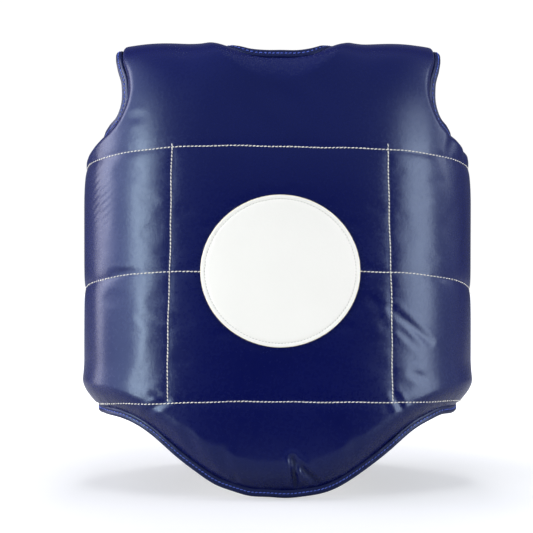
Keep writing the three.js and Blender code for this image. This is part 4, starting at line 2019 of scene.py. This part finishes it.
@dataclass
class Studio:
    """Pale floor, soft light and a level camera in front of the chest."""

    camera_spot: tuple[float, float, float] = (-0.0125, -1.440, 0.2437)
    orbit: float = 0.8
    lens: float = 85.0
    sensor: float = 36.0
    floor_front: float = -0.38
    floor_size: float = 10.0
    floor_cells: int = 8
    floor_clouds: float = 3.0
    floor_detail: float = 3.0
    floor_tones: tuple[Colour, Colour] = ((0.48, 0.485, 0.49, 1.0), (0.52, 0.52, 0.52, 1.0))
    floor_roughness: float = 0.35
    floor_spread: float = 0.1
    # Camera-only floor glow by distance from the vest; the weaker glow near it is a painted shade.
    floor_glow: Easing = Easing(0.28, 0.66, 0.46, 1.0)
    rear_glow: Easing = Easing(0.2, 0.9, 0.0, 0.12)
    top_glow: Easing = Easing(-0.12, 0.20, 0.0, 0.42)
    left_glow: Easing = Easing(-0.55, -0.95, 0.0, 2.2)
    right_glow: Easing = Easing(0.55, 0.95, 0.0, 0.65)
    rear_shade: Easing = Easing(0.1, 0.55, 1.0, 0.15)
    room_tint: Colour = (0.86, 0.94, 1.18, 1.0)
    backdrop_level: float = 1.02
    boxes: tuple[Softbox, ...] = (
        Softbox("left_strip", (-1.40, -0.95, 0.24), (-0.15, -0.08, 0.26), (0.42, 1.19), 17.8,
                tint=(0.97, 1.0, 0.92)),
        Softbox("right_strip", (1.40, -0.86, 0.24), (0.15, -0.08, 0.26), (0.66, 1.19), 17.0),
        Softbox("left_rear_strip", (-1.60, 0.34, 0.45), (-0.2, 0.0, 0.26), (0.5, 1.3), 7.4,
                tint=(1.0, 0.89, 0.92)),
        Softbox("left_upper_strip", (-1.62, -0.02, 0.80), (-0.2, 0.0, 0.26), (0.30, 1.1), 5.0,
                tint=(1.0, 0.89, 0.92)),
        Softbox("right_upper_strip", (1.62, -0.08, 0.90), (0.2, 0.0, 0.30), (0.22, 0.9), 2.6),
        Softbox("overhead", (0.0, 0.10, 2.1), (0.0, 0.0, 0.2), (0.5, 2.4), 35.0, mirrored=False),
        Softbox("backdrop", (0.0, 1.9, 1.3), (0.0, 0.0, 0.0), (2.5, 1.2), 6.0, mirrored=False),
    )

    def build(self) -> None:
        """Makes the floor, the lights, the surroundings and the camera."""
        for box in self.boxes:
            box.build()
        self.floor()
        self.surroundings()
        self.camera()
        bpy.context.scene.view_settings.view_transform = "Standard"

    def floor(self) -> None:
        """Makes the floor, which ends a little way in front of the vest and glows to the camera, less near
        the vest: a painted shade round its foot.
        """
        bm = bmesh.new()
        back = Matrix.Translation((0.0, self.floor_front + self.floor_size / 2, 0.0))
        bmesh.ops.create_grid(bm, x_segments=self.floor_cells, y_segments=self.floor_cells,
                              size=self.floor_size / 2, matrix=back)
        mesh = bpy.data.meshes.new("studio_floor")
        bm.to_mesh(mesh)
        bm.free()
        material, surface = new_surface("pale_floor")
        place = surface.place()
        cloud = surface.noise(place, self.floor_clouds, self.floor_detail)
        away = surface.signal("ShaderNodeVectorMath", "Value", {"operation": "LENGTH"}, {0: place})
        # Glow seen by the camera only: it whitens the far floor and is weaker near the vest, a painted
        # shade round its foot.
        glow = surface.eased(away, self.floor_glow)
        seen = surface.signal("ShaderNodeLightPath", "Is Camera Ray")
        surface.shade({
            "Base Color": surface.blend(cloud, *self.floor_tones),
            "Roughness": self.floor_roughness + cloud * self.floor_spread,
            "Emission Color": surface.blend(seen * glow, NO_LIGHT, FULL_LIGHT),
            "Emission Strength": 1.0,
        })
        mesh.materials.append(material)
        floor = bpy.data.objects.new("studio_floor", mesh)
        bpy.context.scene.collection.objects.link(floor)

    def surroundings(self) -> None:
        """Makes the room: white to the camera, dark in front and pale behind in reflections."""
        world = bpy.data.worlds.new("studio")
        world.use_nodes = True
        surface = Surface(world.node_tree)
        bearing = surface.signal("ShaderNodeTexCoord", "Generated")
        parts = surface.node("ShaderNodeSeparateXYZ", {}, {"Vector": bearing})
        across = Signal(surface, parts.outputs["X"])
        behind = Signal(surface, parts.outputs["Y"])
        above = Signal(surface, parts.outputs["Z"])
        rear = surface.eased(behind, self.rear_glow)
        top = surface.eased(above, self.top_glow)
        left = surface.eased(across, self.left_glow)
        right = surface.eased(across, self.right_glow)
        shade = surface.eased(behind, self.rear_shade)
        seen = surface.signal("ShaderNodeLightPath", "Is Camera Ray")
        level = (rear + (top + left + right) * shade) * (1 - seen) + seen * self.backdrop_level
        colour = surface.blend(seen, self.room_tint, FULL_LIGHT)
        room = surface.signal("ShaderNodeBackground", "Background", {},
                              {"Color": colour, "Strength": level})
        surface.node("ShaderNodeOutputWorld", {}, {"Surface": room})
        bpy.context.scene.world = world

    def camera(self) -> None:
        """Makes the camera, turned a little round the vest."""
        data = bpy.data.cameras.new("front_camera")
        data.lens = self.lens
        data.sensor_width = self.sensor
        camera = bpy.data.objects.new("front_camera", data)
        turn = -math.radians(self.orbit)
        camera.location = Matrix.Rotation(turn, 3, "Z") @ Vector(self.camera_spot)
        camera.rotation_euler = (math.pi / 2, 0.0, turn)
        bpy.context.scene.collection.objects.link(camera)
        bpy.context.scene.camera = camera


def main() -> None:
    """Builds the studio and the vest."""
    logging.basicConfig(level=logging.INFO, format="%(name)s %(message)s")
    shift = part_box("back_strap_middle")[1].y / METRES - BAND_FACE
    Studio().build()
    Vest(TorsoForm(shift)).build()


if __name__ == "__main__":
    main()
